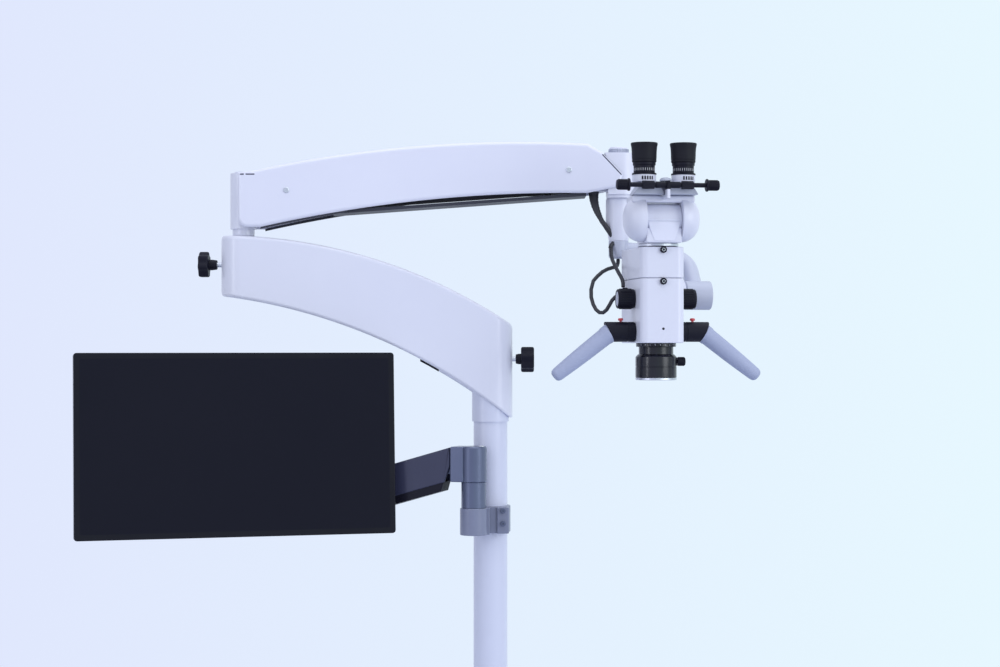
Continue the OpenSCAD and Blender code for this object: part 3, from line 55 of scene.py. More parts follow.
# Places that the parts share


def at(x: float = 0.0, y: float = 0.0, z: float = 0.0, turn: float = 0.0) -> Matrix:
    """Gives a place with +Z up, turned about +Z by degrees."""
    return Matrix.Translation((x, y, z)) @ Matrix.Rotation(math.radians(turn), 4, "Z")


def along_x(place: Matrix, x: float, y: float, z: float, way: int = 1) -> Matrix:
    """Gives a place inside another one whose own +Z points along +X, or along -X for a way of -1."""
    return place @ Matrix.Translation((x, y, z)) @ Matrix.Rotation(way * math.pi / 2, 4, "Y")


def facing_front(place: Matrix, x: float, y: float, z: float) -> Matrix:
    """Gives a place inside another one whose own +Z points to the user, along -Y, and whose +Y points up."""
    return place @ Matrix.Translation((x, y, z)) @ Matrix.Rotation(math.pi / 2, 4, "X")


def raised(place: Matrix, z: float) -> Matrix:
    """Gives a place moved along its own +Z."""
    return place @ Matrix.Translation((0, 0, z))


WORLD = Matrix.Identity(4)
FRONT = facing_front(WORLD, 0, 0, 0)
HEAD_TURN = 8.0
HEAD = at(253.9, -140, 0, HEAD_TURN)
SWIVEL = at(205, 0, 0)


class Side(Enum):
    """The two sides of the head, as seen from the front."""

    LEFT = -1
    RIGHT = 1

    @property
    def word(self) -> str:
        """The side as the parts' names write it."""
        return self.name.lower()


class Rims(Enum):
    """Which rims of an extruded form are rounded."""

    BOTH = 1
    TOP = 2


# Outlines


def bow(p: Pair, q: Pair, rise: float, steps: int = 48) -> list[Pair]:
    """Points of a circular arc from p to q that rises above its chord.

    Args:
        p: Its first end.
        q: Its other end.
        rise: How far it stands above the chord in the middle.
        steps: How many stretches it has.

    Returns:
        The points, from p to q.
    """
    a, b = Vector(p), Vector(q)
    half = (b - a).length / 2
    radius = (half * half + rise * rise) / (2 * rise)
    along = (b - a) / (2 * half)
    up = Vector((-along.y, along.x))
    middle = (a + b) / 2 - (radius - rise) * up
    reach = math.asin(half / radius)
    turns = [reach * (2 * i / steps - 1) for i in range(steps + 1)]
    return [tuple(middle + radius * (math.sin(t) * along + math.cos(t) * up)) for t in turns]


def height_on(points: Sequence[Pair], x: float) -> float:
    """Reads the height of a line of points at x, with its end heights outside it."""
    if x <= points[0][0]:
        return points[0][1]
    for (x0, z0), (x1, z1) in zip(points, points[1:]):
        if x <= x1:
            return z0 + (z1 - z0) * (x - x0) / max(x1 - x0, 1e-9)
    return points[-1][1]


def arc(cx: float, cy: float, r: float, start: float, end: float, steps: int = 8) -> list[Pair]:
    """Points of an arc about a centre, between two angles in degrees."""
    turns = [math.radians(start + (end - start) * i / steps) for i in range(steps + 1)]
    return [(cx + r * math.cos(t), cy + r * math.sin(t)) for t in turns]


def round_rect(w: float, d: float, r: float, cx: float = 0.0, cy: float = 0.0, steps: int = 8) -> list[Pair]:
    """Outline of a rectangle with round corners about a centre."""
    x, y = w / 2 - r, d / 2 - r
    corners = ((x, y, 0), (-x, y, 90), (-x, -y, 180), (x, -y, 270))
    points: list[Pair] = []
    for px, py, turn in corners:
        points += arc(cx + px, cy + py, r, turn, turn + 90, steps)
    return points


def rounded(r: float, low: float, high: float, soft: float, steps: int = 5) -> list[Pair]:
    """Profile of a disc or knob: radius and height, with both rims rounded."""
    foot = [(r - soft + soft * math.sin(t), low + soft - soft * math.cos(t)) for t in quarter(steps)]
    head = [(r - soft + soft * math.cos(t), high - soft + soft * math.sin(t)) for t in quarter(steps)]
    return [(0.0, low), *foot, *head, (0.0, high)]


def disc(r: float, low: float, high: float) -> list[Pair]:
    """Profile of a plain cylinder."""
    return [(0, low), (r, low), (r, high), (0, high)]


def sleeve(bore: float, r: float, low: float, high: float, soft: float) -> list[Pair]:
    """Profile of a ring, or of a cylinder where the bore is 0, with both outer rims bevelled."""
    return [(bore, low), (r - soft, low), (r, low + soft), (r, high - soft), (r - soft, high), (bore, high)]


def quarter(steps: int) -> list[float]:
    """The angles of a quarter turn, in radians."""
    return [math.pi / 2 * i / steps for i in range(steps + 1)]


def full_turn(steps: int) -> list[float]:
    """The angles of a whole turn, in radians, without its end."""
    return [2 * math.pi * i / steps for i in range(steps)]


def soft_route(points: Sequence[Point], bend: float, steps: int = 10) -> list[Vector]:
    """Rounds the corners of a route, each with a curve that starts `bend` before the corner."""
    route = [Vector(p) for p in points]
    result = [route[0]]
    for before, corner, after in zip(route, route[1:], route[2:]):
        start = corner + (before - corner).normalized() * bend
        end = corner + (after - corner).normalized() * bend
        for i in range(steps + 1):
            t = i / steps
            result.append(start * (1 - t) ** 2 + corner * 2 * t * (1 - t) + end * t * t)
    return result + [route[-1]]


# Nodes of shaders and of geometry


def plug(tree, value: object, socket) -> None:
    """Feeds an input with another node's socket or with a value."""
    if isinstance(value, bpy.types.NodeSocket):
        tree.links.new(value, socket)
    else:
        socket.default_value = value


def feed(tree, node, **feeds: object):
    """Feeds a node's inputs by name, with an underscore for each space, and gives the node."""
    for label, value in feeds.items():
        plug(tree, value, node.inputs[label.replace("_", " ")])
    return node


def add_node(tree, kind: str, settings: dict[str, object] | None = None, **feeds: object):
    """Adds a node to a tree.

    Args:
        tree: The shader or geometry tree.
        kind: The node's type.
        settings: Values of its own attributes, which are set before its inputs.
        feeds: What its inputs get.

    Returns:
        The node.
    """
    node = tree.nodes.new(kind)
    for label, value in (settings or {}).items():
        setattr(node, label, value)
    return feed(tree, node, **feeds)


def maths(tree, operation: str, *values):
    """Adds a Math node fed by sockets or numbers and gives its output."""
    node = add_node(tree, "ShaderNodeMath", {"operation": operation})
    for socket, value in zip(node.inputs, values):
        plug(tree, value, socket)
    return node.outputs[0]


# Surface effects that several finishes share, as shader node groups


def group_tree(name: str, inputs: Iterable[tuple[str, str, object]], outputs: Iterable[tuple[str, str]]):
    """Starts a shader node group.

    Args:
        name: The group's name.
        inputs: Name, kind and default value of each input.
        outputs: Name and kind of each output.

    Returns:
        The tree, its inputs by name and its output node.
    """
    tree = bpy.data.node_groups.new(name, "ShaderNodeTree")
    for label, kind, value in inputs:
        socket = tree.interface.new_socket(label, in_out="INPUT", socket_type="NodeSocket" + kind)
        if value is not None:
            socket.default_value = value
    for label, kind in outputs:
        tree.interface.new_socket(label, in_out="OUTPUT", socket_type="NodeSocket" + kind)
    return tree, tree.nodes.new("NodeGroupInput").outputs, tree.nodes.new("NodeGroupOutput")


def make_grain_group():
    """Builds the fine grain of a moulded or painted surface: a height for a Bump node."""
    tree, start, end = group_tree(
        "surface_grain",
        [("Vector", "Vector", None), ("Scale", "Float", 900.0), ("Waviness", "Float", 0.3)],
        [("Height", "Float")],
    )
    broad_scale = maths(tree, "MULTIPLY", start["Scale"], 0.18)
    fine = add_node(tree, "ShaderNodeTexNoise", Vector=start["Vector"], Scale=start["Scale"], Detail=3)
    broad = add_node(tree, "ShaderNodeTexNoise", Vector=start["Vector"], Scale=broad_scale, Detail=1)
    wave = maths(tree, "MULTIPLY", broad.outputs["Fac"], start["Waviness"])
    feed(tree, end, Height=maths(tree, "ADD", fine.outputs["Fac"], wave))
    return tree


def make_tone_group():
    """Builds the slow change of tone over a surface: a colour, and a mask for the roughness."""
    tree, start, end = group_tree(
        "surface_tone",
        [
            ("Vector", "Vector", None),
            ("Colour", "Color", (0.8, 0.8, 0.8, 1)),
            ("Shade", "Color", (0.7, 0.7, 0.7, 1)),
            ("Scale", "Float", 6.0),
            ("Amount", "Float", 0.5),
        ],
        [("Colour", "Color"), ("Mask", "Float")],
    )
    cloud = add_node(tree, "ShaderNodeTexNoise", Vector=start["Vector"], Scale=start["Scale"], Detail=5,
                     Roughness=0.6)
    spread = add_node(tree, "ShaderNodeMapRange", Value=cloud.outputs["Fac"], From_Min=0.35, From_Max=0.7)
    factor = maths(tree, "MULTIPLY", spread.outputs[0], start["Amount"])
    mix = add_node(tree, "ShaderNodeMix", {"data_type": "RGBA"}, Factor=factor, A=start["Colour"],
                   B=start["Shade"])
    feed(tree, end, Colour=mix.outputs["Result"], Mask=spread.outputs[0])
    return tree


def make_lathe_group():
    """Builds the fine rings that a cutting tool leaves across an axis: a height for a Bump node."""
    tree, start, end = group_tree(
        "turning_rings",
        [("Vector", "Vector", None), ("Axis", "Vector", (0, 0, 1)), ("Pitch", "Float", 0.0004)],
        [("Height", "Float")],
    )
    reach = add_node(tree, "ShaderNodeVectorMath", {"operation": "DOT_PRODUCT"})
    plug(tree, start["Vector"], reach.inputs[0])
    plug(tree, start["Axis"], reach.inputs[1])
    turns = maths(tree, "DIVIDE", reach.outputs["Value"], start["Pitch"])
    feed(tree, end, Height=maths(tree, "SINE", maths(tree, "MULTIPLY", turns, 2 * math.pi)))
    return tree


GRAIN = make_grain_group()
TONE = make_tone_group()
LATHE = make_lathe_group()
COAT_ROUGHNESS = 0.12
BUMP_STRENGTH = 0.6
GLASS_CLEARNESS = 0.85
GLASS_IOR = 1.5


@dataclass(frozen=True)
class Finish:
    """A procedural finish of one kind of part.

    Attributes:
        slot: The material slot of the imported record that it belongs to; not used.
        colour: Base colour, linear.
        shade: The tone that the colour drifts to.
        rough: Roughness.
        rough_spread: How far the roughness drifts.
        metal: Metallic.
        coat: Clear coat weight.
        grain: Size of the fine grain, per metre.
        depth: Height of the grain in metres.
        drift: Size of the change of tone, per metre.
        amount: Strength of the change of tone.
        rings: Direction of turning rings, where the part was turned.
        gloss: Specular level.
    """

    name: str
    slot: str
    colour: Point
    shade: Point
    rough: float = 0.4
    rough_spread: float = 0.06
    metal: float = 0.0
    coat: float = 0.0
    grain: float = 900.0
    depth: float = 0.00004
    drift: float = 7.0
    amount: float = 0.5
    rings: Point | None = None
    gloss: float = 0.5

    def material(self) -> bpy.types.Material:
        """Gives the finish's material, and builds it the first time."""
        found = bpy.data.materials.get(self.name)
        return found or self.build()

    def build(self) -> bpy.types.Material:
        """Builds the material: tone to colour and roughness, grain or rings to the normal."""
        material = bpy.data.materials.new(self.name)
        material.use_nodes = True
        tree = material.node_tree
        places = tree.nodes.new("ShaderNodeTexCoord").outputs["Object"]
        tone = add_node(tree, "ShaderNodeGroup", {"node_tree": TONE}, Vector=places, Colour=(*self.colour, 1),
                        Shade=(*self.shade, 1), Scale=self.drift, Amount=self.amount)
        group, own = (LATHE, {"Axis": self.rings}) if self.rings else (GRAIN, {"Scale": self.grain})
        relief = add_node(tree, "ShaderNodeGroup", {"node_tree": group}, Vector=places, **own)
        bump = add_node(tree, "ShaderNodeBump", Distance=self.depth, Strength=BUMP_STRENGTH,
                        Height=relief.outputs["Height"])
        rough = maths(tree, "MULTIPLY_ADD", tone.outputs["Mask"], self.rough_spread, self.rough)
        feed(tree, tree.nodes["Principled BSDF"], Base_Color=tone.outputs["Colour"], Roughness=rough,
             Metallic=self.metal, Coat_Weight=self.coat, Coat_Roughness=COAT_ROUGHNESS,
             Specular_IOR_Level=self.gloss, Normal=bump.outputs["Normal"])
        return material


@dataclass(frozen=True)
class Glass(Finish):
    """A clear coated glass, tinted where it is looked through."""

    def build(self) -> bpy.types.Material:
        """Builds the painted form of the finish and makes it transparent."""
        material = super().build()
        tree = material.node_tree
        feed(tree, tree.nodes["Principled BSDF"], Transmission_Weight=GLASS_CLEARNESS, IOR=GLASS_IOR)
        return material


HEAD_X = (math.cos(math.radians(HEAD_TURN)), math.sin(math.radians(HEAD_TURN)), 0.0)
COVER_WHITE = Finish("cover_white", "white_shell", (0.70, 0.72, 0.84), (0.66, 0.68, 0.81), 0.30, 0.08,
                     coat=0.25, grain=1400, depth=0.00003, drift=5)
CASTING_WHITE = Finish("casting_white", "white_casting", (0.68, 0.70, 0.81), (0.64, 0.66, 0.78), 0.34, 0.08,
                       coat=0.2, grain=700, depth=0.00005, drift=5)
HEAD_WHITE = Finish("head_white", "white_casting", (0.66, 0.68, 0.79), (0.62, 0.64, 0.76), 0.36, 0.08,
                    coat=0.15, grain=1600, depth=0.00003, drift=9)
# Painted shade: the yoke's white casting, darkened for the shade that lies on it.
YOKE_PAINTED_SHADE = Finish("yoke_white", "white_casting", (0.48, 0.51, 0.62), (0.43, 0.46, 0.57), 0.34, 0.08,
                    grain=1000, depth=0.00005, drift=9)
SHADED_WHITE = Finish("shaded_white", "white_casting", (0.42, 0.45, 0.55), (0.37, 0.40, 0.50), 0.42, 0.08,
                      grain=1600, depth=0.00003, drift=12)
COLUMN_PAINT = Finish("column_enamel", "column_paint", (0.61, 0.64, 0.78), (0.57, 0.60, 0.74), 0.33, 0.07,
                      coat=0.2, grain=600, depth=0.00004, drift=4)
CAST_PAINT = Finish("powder_coat", "cast_base", (0.60, 0.62, 0.70), (0.54, 0.56, 0.64), 0.55, 0.1,
                    grain=420, depth=0.00018, drift=6)
BLACK_PLASTIC = Finish("moulded_black", "black_plastic", (0.006, 0.006, 0.014), (0.010, 0.010, 0.020), 0.40,
                       0.12, grain=1800, depth=0.00003, drift=30, gloss=0.16)
SOFT_BLACK = Finish("black_eyecup_rubber", "black_plastic", (0.006, 0.006, 0.011), (0.013, 0.013, 0.020),
                    0.55, 0.12, grain=2200, depth=0.00009, drift=40, gloss=0.2)
BLACK_GLOSS = Finish("black_anodised", "black_gloss", (0.006, 0.006, 0.012), (0.010, 0.010, 0.017), 0.18,
                     0.06, coat=0.15, depth=0.00001, drift=30, rings=(0, 0, 1), gloss=0.34)
STEEL = Finish("turned_steel", "bare_steel", (0.62, 0.64, 0.70), (0.52, 0.54, 0.60), 0.26, 0.1,
               metal=1.0, depth=0.00002, drift=40, rings=(0, 0, 1))
STEEL_ACROSS = Finish("turned_steel_across", "bare_steel", (0.62, 0.64, 0.70), (0.52, 0.54, 0.60), 0.28, 0.1,
                      metal=1.0, depth=0.00002, drift=40, rings=HEAD_X)
ZINC = Finish("zinc_plate", "zinc_steel", (0.55, 0.56, 0.60), (0.44, 0.45, 0.50), 0.34, 0.16,
              metal=1.0, grain=500, depth=0.00006, drift=60, amount=0.8)
ARM_GREY = Finish("arm_grey_enamel", "arm_grey", (0.020, 0.023, 0.062), (0.027, 0.031, 0.070), 0.50, 0.1,
                  coat=0.15, grain=900, depth=0.00006, drift=14)
TRAY_BLACK = Finish("tray_black", "arm_grey", (0.018, 0.019, 0.035), (0.03, 0.03, 0.05), 0.5, 0.1,
                    grain=900, depth=0.00006, drift=14)
# Painted shade: the white casting darkened for the tube slides, in the shaded gap between the wedges.
SLIDE_PAINTED_SHADE = Finish("slide_grey", "white_casting", (0.17, 0.18, 0.26), (0.14, 0.15, 0.23), 0.42, 0.08,
                    grain=1600, depth=0.00003, drift=12)
KNUCKLE_GREY = Finish("knuckle_grey_enamel", "knuckle_grey", (0.10, 0.12, 0.20), (0.085, 0.10, 0.175), 0.30,
                      0.1, metal=0.4, coat=0.3, grain=900, depth=0.00005, drift=14)
CLAMP_GREY = Finish("clamp_grey_enamel", "knuckle_grey", (0.19, 0.21, 0.31), (0.16, 0.18, 0.27), 0.26, 0.1,
                    coat=0.2, grain=900, depth=0.00005, drift=14)
GRIP_GREY = Finish("moulded_grip", "grip_grey", (0.34, 0.38, 0.53), (0.30, 0.34, 0.48), 0.55, 0.1,
                   grain=1500, depth=0.00009, drift=20)
RED = Finish("button_red", "release_red", (0.55, 0.02, 0.035), (0.42, 0.012, 0.025), 0.25, 0.08,
             coat=0.4, depth=0.00002, drift=90)
HOSE = Finish("cable_jacket", "hose_rubber", (0.020, 0.020, 0.028), (0.035, 0.035, 0.045), 0.5, 0.12,
              grain=1500, depth=0.00008, drift=60)
TREAD = Finish("wheel_tread", "wheel_rubber", (0.10, 0.10, 0.11), (0.14, 0.14, 0.15), 0.62, 0.12,
               grain=700, depth=0.00015, drift=50, amount=0.8)
LENS = Glass("coated_lens", "lens_glass", (0.55, 0.75, 0.82), (0.50, 0.62, 0.85), 0.04, 0.02,
             depth=0.0, drift=60)
BEZEL = Finish("screen_bezel", "screen_black", (0.006, 0.006, 0.012), (0.010, 0.010, 0.016), 0.18, 0.08,
               grain=1200, depth=0.00002, drift=12, gloss=0.16)
SCREEN_BACK = Finish("screen_back", "screen_black", (0.012, 0.012, 0.018), (0.02, 0.02, 0.028), 0.46, 0.1,
                     grain=1100, depth=0.00012, drift=12)
SCREEN_GLASS = Finish("display_glass", "screen_glass", (0.006, 0.006, 0.014), (0.008, 0.008, 0.016), 0.12,
                      0.05, depth=0.000004, drift=4, gloss=0.12)
MARK_WHITE = Finish("index_white", "white_shell", (0.80, 0.82, 0.88), (0.74, 0.76, 0.84), 0.5, 0.05,
                    grain=2500, depth=0.00002, drift=60)
FLOOR_PAINT = Finish("floor_paint", "cast_base", (0.62, 0.67, 0.80), (0.60, 0.65, 0.78), 0.7, 0.1,
                     grain=300, depth=0.0001, drift=1.5)


# Meshes

WELD = 1e-4
WELD_METRES = 2e-6
SLIVER_METRES = 1e-7
SHARP = 38.0
SHARPEST_INSET = 0.4


def new_object(name: str, data: bpy.types.ID) -> bpy.types.Object:
    """Makes an object out of its data and puts it in the scene."""
    thing = bpy.data.objects.new(name, data)
    bpy.context.scene.collection.objects.link(thing)
    return thing


def discard(*things: bpy.types.Object) -> None:
    """Deletes objects together with their meshes."""
    for thing in things:
        data = thing.data
        bpy.data.objects.remove(thing)
        bpy.data.meshes.remove(data)


def applied(thing: bpy.types.Object) -> bpy.types.Mesh:
    """Gives a new mesh with the shape that an object's modifiers make."""
    graph = bpy.context.evaluated_depsgraph_get()
    return bpy.data.meshes.new_from_object(thing.evaluated_get(graph))


def inset(outline: Sequence[Pair], distance: float) -> list[Pair]:
    """Moves an outline's sides inwards by a distance.

    Args:
        outline: The points, either way round.
        distance: How far each side moves.

    Returns:
        As many points as the outline has.
    """
    points = [Vector(point) for point in outline]
    turn = math.copysign(1, sum(a.cross(b) for a, b in zip(points, points[1:] + points[:1])))
    moved = []
    for before, here, after in zip(points[-1:] + points[:-1], points, points[1:] + points[:1]):
        a, b = ((q - p).normalized() for p, q in ((before, here), (here, after)))
        first, second = (turn * Vector((-way.y, way.x)) for way in (a, b))
        middle = (first + second).normalized()
        moved.append(tuple(here + middle * distance / max(middle.dot(first), SHARPEST_INSET)))
    return moved


class Form:
    """A mesh in the making, in millimetres, out of closed shells."""

    def __init__(self) -> None:
        """Starts with an empty mesh."""
        self.mesh = bmesh.new()

    def loft(self, rings: Sequence[Sequence[Vector]], place: Matrix = WORLD, closed: bool = False) -> "Form":
        """Joins rings of equally many points into a skin.

        Args:
            rings: The rings, in order.
            place: Where their millimetres are measured from.
            closed: Whether the last ring joins the first, in place of two end faces.

        Returns:
            The form itself.
        """
        made = [[self.mesh.verts.new(place @ Vector(p)) for p in ring] for ring in rings]
        count = len(made[0])
        for a, b in zip(made, made[1:] + made[:1] if closed else made[1:]):
            for k in range(count):
                self.mesh.faces.new((a[k], a[(k + 1) % count], b[(k + 1) % count], b[k]))
        if not closed:
            self.mesh.faces.new(list(reversed(made[0])))
            self.mesh.faces.new(made[-1])
        return self

    def turned(self, profile: Sequence[Pair], place: Matrix = WORLD, sides: int = 64,
               hollow: bool = False) -> "Form":
        """Turns a profile of radius and height about the place's +Z.

        Args:
            profile: Radius and height of each point.
            place: The axis.
            sides: How many stretches go round.
            hollow: Whether the profile is a closed loop, so that the form is a ring.

        Returns:
            The form itself.
        """
        turns = full_turn(sides)
        rings = [[Vector((r * math.cos(t), r * math.sin(t), z)) for t in turns] for r, z in profile]
        return self.loft(rings, place, closed=hollow)

    def slab(self, outline: Sequence[Pair], low: float, high: float, place: Matrix = WORLD,
             bevel: float = 0.0, steps: int = 4, rims: Rims = Rims.BOTH) -> "Form":
        """Extrudes an outline along the place's +Z, and rounds its rims.

        Args:
            outline: The points, in the place's XY plane.
            low: Where it starts.
            high: Where it ends.
            place: Where it stands.
            bevel: Radius of the rounding.
            steps: Stretches of the rounding.
            rims: Which rims are rounded.

        Returns:
            The form itself.
        """
        turns = quarter(steps) if bevel > 0 else [0.0]
        levels = [(high - bevel * (1 - math.sin(t)), bevel * (1 - math.cos(t))) for t in turns]
        foot = [(low + high - z, drop) for z, drop in reversed(levels)] if rims is Rims.BOTH else [(low, 0.0)]
        rings = [[Vector((x, y, z)) for x, y in inset(outline, drop)] for z, drop in foot + levels]
        return self.loft(rings, place)

    def block(self, low: Point, high: Point, place: Matrix = WORLD, bevel: float = 1.0) -> "Form":
        """Adds a box between two corners with all its edges rounded."""
        shell = bmesh.new()
        size = [b - a for a, b in zip(low, high)]
        middle = [(b + a) / 2 for a, b in zip(low, high)]
        scale = Matrix.Diagonal((*size, 1))
        bmesh.ops.create_cube(shell, size=1, matrix=Matrix.Translation(middle) @ scale)
        bmesh.ops.bevel(shell, geom=list(shell.edges), offset=bevel, segments=3, profile=0.5, affect="EDGES")
        shell.transform(place)
        spare = bpy.data.meshes.new("spare")
        shell.to_mesh(spare)
        shell.free()
        self.mesh.from_mesh(spare)
        bpy.data.meshes.remove(spare)
        return self

    def tube(self, route: Sequence[Vector], radii: Sequence[float], place: Matrix = WORLD,
             sides: int = 32) -> "Form":
        """Sweeps a round section along a route, without twist."""
        rings = []
        side = Vector((0, 0, 1)).cross((route[1] - route[0]).normalized())
        side = side.normalized() if side.length > 1e-6 else Vector((1, 0, 0))
        for i, (p, r) in enumerate(zip(route, radii)):
            way = (route[min(i + 1, len(route) - 1)] - route[max(i - 1, 0)]).normalized()
            side = (side - way * side.dot(way)).normalized()
            other = way.cross(side)
            rings.append([p + r * (math.cos(t) * side + math.sin(t) * other) for t in full_turn(sides)])
        return self.loft(rings, place)

    def minus(self, tool: "Form") -> "Form":
        """Cuts another form out of this one with an exact boolean, and gives this form."""
        body, knife = self.loose("cut_body"), tool.loose("cut_knife")
        cutter = body.modifiers.new("cut", "BOOLEAN")
        cutter.object = knife
        cutter.operation = "DIFFERENCE"
        cutter.solver = "EXACT"
        result = applied(body)
        self.mesh = bmesh.new()
        self.mesh.from_mesh(result)
        discard(body, knife)
        bpy.data.meshes.remove(result)
        return self

    def released(self, name: str) -> bpy.types.Object:
        """Turns the form into an object with every face outward, and lets go of its mesh."""
        bmesh.ops.recalc_face_normals(self.mesh, faces=self.mesh.faces)
        if self.mesh.calc_volume(signed=True) < 0:
            bmesh.ops.reverse_faces(self.mesh, faces=self.mesh.faces)
        data = bpy.data.meshes.new(name)
        self.mesh.to_mesh(data)
        self.mesh.free()
        return new_object(name, data)

    def loose(self, name: str) -> bpy.types.Object:
        """Turns the form into a plain object, in millimetres, that belongs to no body."""
        bmesh.ops.remove_doubles(self.mesh, verts=self.mesh.verts, dist=WELD)
        return self.released(name)

    def piece(self, name: str, body: str, finish: Finish, *nodes: str,
              sharp: float = SHARP) -> bpy.types.Object:
        """Finishes the form as a piece in metres that rides on a body.

        Args:
            name: The piece's name.
            body: The body that carries it.
            finish: What it is finished in.
            nodes: The CAD nodes that it stands for.
            sharp: The angle in degrees past which an edge stays sharp.

        Returns:
            The piece.
        """
        self.mesh.transform(Matrix.Scale(METRE, 4))
        bmesh.ops.remove_doubles(self.mesh, verts=self.mesh.verts, dist=WELD_METRES)
        bmesh.ops.dissolve_degenerate(self.mesh, dist=SLIVER_METRES, edges=self.mesh.edges)
        return settle(self.released(name), body, finish, nodes, sharp)


def settle(thing: bpy.types.Object, body: str, finish: Finish, nodes: Sequence[str] = (),
           sharp: float = SHARP) -> bpy.types.Object:
    """Gives a finished object its material and its body, and hides the CAD nodes that it stands for."""
    dress(thing.data, finish)
    if thing.type == "MESH":
        thing.data.shade_smooth()
        thing.data.set_sharp_from_angle(angle=math.radians(sharp))
        even = thing.modifiers.new("even_shading", "WEIGHTED_NORMAL")
        even.keep_sharp = True
    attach(thing, body)
    if nodes:
        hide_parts(*nodes)
    LOG.info("%s rides on %s, finished in %s", thing.name, body, finish.name)
    return thing


def dress(data: bpy.types.ID, finish: Finish) -> None:
    """Gives a mesh or a curve one finish in place of what it had."""
    data.materials.clear()
    data.materials.append(finish.material())


def paint(node: str, finish: Finish) -> None:
    """Gives a CAD node that stays its finish."""
    dress(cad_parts[node].data, finish)
    LOG.info("%s keeps its solid, finished in %s", node, finish.name)


# Geometry Nodes for what repeats or follows a line


class Repeats:
    """A Geometry Nodes tree with named inputs that ends in realised instances and a material."""

    def __init__(self, name: str, inputs: Iterable[tuple[str, str, object]]) -> None:
        """Starts the tree with its inputs.

        Args:
            name: The name of the piece that it makes.
            inputs: Name, kind and value of each input.
        """
        self.values = [(label, value) for label, _, value in inputs]
        self.tree = bpy.data.node_groups.new(name + "_tree", "GeometryNodeTree")
        self.tree.interface.new_socket("Geometry", in_out="INPUT", socket_type="NodeSocketGeometry")
        self.keys = {}
        for label, kind, _ in inputs:
            socket = self.tree.interface.new_socket(label, in_out="INPUT", socket_type="NodeSocket" + kind)
            self.keys[label] = socket.identifier
        self.tree.interface.new_socket("Geometry", in_out="OUTPUT", socket_type="NodeSocketGeometry")
        self.inputs = self.tree.nodes.new("NodeGroupInput").outputs
        self.end = self.tree.nodes.new("NodeGroupOutput")

    def node(self, kind: str, settings: dict[str, object] | None = None, **feeds: object):
        """Adds a node as add_node does."""
        return add_node(self.tree, kind, settings, **feeds)

    def make(self, geometry, place: Matrix, name: str, body: str, finish: Finish,
             nodes: Sequence[str] = ()) -> bpy.types.Object:
        """Ends the tree, turns its result into a plain mesh and finishes it as a piece."""
        whole = self.node("GeometryNodeRealizeInstances", Geometry=geometry)
        dressed = self.node("GeometryNodeSetMaterial", Geometry=whole.outputs["Geometry"],
                            Material=finish.material())
        feed(self.tree, self.end, Geometry=dressed.outputs["Geometry"])
        seed = new_object(name, bpy.data.meshes.new(name + "_seed"))
        modifier = seed.modifiers.new("repeats", "NODES")
        modifier.node_group = self.tree
        for label, value in self.values:
            modifier[self.keys[label]] = value
        result = applied(seed)
        seed.modifiers.remove(modifier)
        result.transform(Matrix.Scale(METRE, 4) @ place)
        old = seed.data
        seed.data = result
        bpy.data.meshes.remove(old)
        result.name = name
        return settle(seed, body, finish, nodes, 30.0)


def rib_ring(name: str, body: str, finish: Finish, place: Matrix, count: int, radius: float,
             rib: Point, span: Pair = (0.0, 360.0)) -> bpy.types.Object:
    """Stands equal ribs round a circle or a part of it, as on a knurled knob or a scale.

    Args:
        name: The piece's name.
        body: The body that carries it.
        finish: What it is finished in.
        place: The circle's centre, with its axis along +Z.
        count: How many ribs there are.
        radius: Radius of the circle through the ribs' middles.
        rib: A rib's thickness outwards, its width round the circle, and its length along the axis.
        span: Where the ribs start on the circle and how far they go round, in degrees.

    Returns:
        The piece.
    """
    start, sweep = (math.radians(angle) for angle in span)
    sweep *= 1 - 1 / count if span[1] == 360 else 1
    tree = Repeats(name, [
        ("Count", "Int", count), ("Radius", "Float", float(radius)), ("Thickness", "Float", float(rib[0])),
        ("Width", "Float", float(rib[1])), ("Length", "Float", float(rib[2])), ("Start", "Float", start),
        ("Sweep", "Float", sweep)])
    given = tree.inputs
    line = tree.node("GeometryNodeCurveArc", Resolution=given["Count"], Radius=given["Radius"],
                     Start_Angle=given["Start"], Sweep_Angle=given["Sweep"])
    size = tree.node("ShaderNodeCombineXYZ", X=given["Thickness"], Y=given["Width"], Z=given["Length"])
    bar = tree.node("GeometryNodeMeshCube", Size=size.outputs[0])
    spot = tree.node("GeometryNodeInputPosition")
    turn = tree.node("FunctionNodeAlignRotationToVector", {"axis": "X", "pivot_axis": "Z"},
                     Vector=spot.outputs[0])
    ribs = tree.node("GeometryNodeInstanceOnPoints", Points=line.outputs["Curve"],
                     Instance=bar.outputs["Mesh"], Rotation=turn.outputs[0])
    return tree.make(ribs.outputs["Instances"], place, name, body, finish)


def bar_grid(name: str, body: str, finish: Finish, place: Matrix, span: Pair, counts: tuple[int, int],
             bar: Point) -> bpy.types.Object:
    """Sets equal bars out on a flat grid, as for vents.

    Args:
        name: The piece's name.
        body: The body that carries it.
        finish: What it is finished in.
        place: The grid's centre, with the grid in its XY plane.
        span: How far the grid reaches along X and along Y.
        counts: How many bars stand along X and along Y.
        bar: A bar's size along each axis.

    Returns:
        The piece.
    """
    tree = Repeats(name, [
        ("Span X", "Float", float(span[0])), ("Span Y", "Float", float(span[1])),
        ("Columns", "Int", counts[0]), ("Rows", "Int", counts[1]), ("Bar", "Vector", bar)])
    given = tree.inputs
    grid = tree.node("GeometryNodeMeshGrid", Size_X=given["Span X"], Size_Y=given["Span Y"],
                     Vertices_X=given["Columns"], Vertices_Y=given["Rows"])
    one = tree.node("GeometryNodeMeshCube", Size=given["Bar"])
    many = tree.node("GeometryNodeInstanceOnPoints", Points=grid.outputs["Mesh"],
                     Instance=one.outputs["Mesh"])
    return tree.make(many.outputs["Instances"], place, name, body, finish)


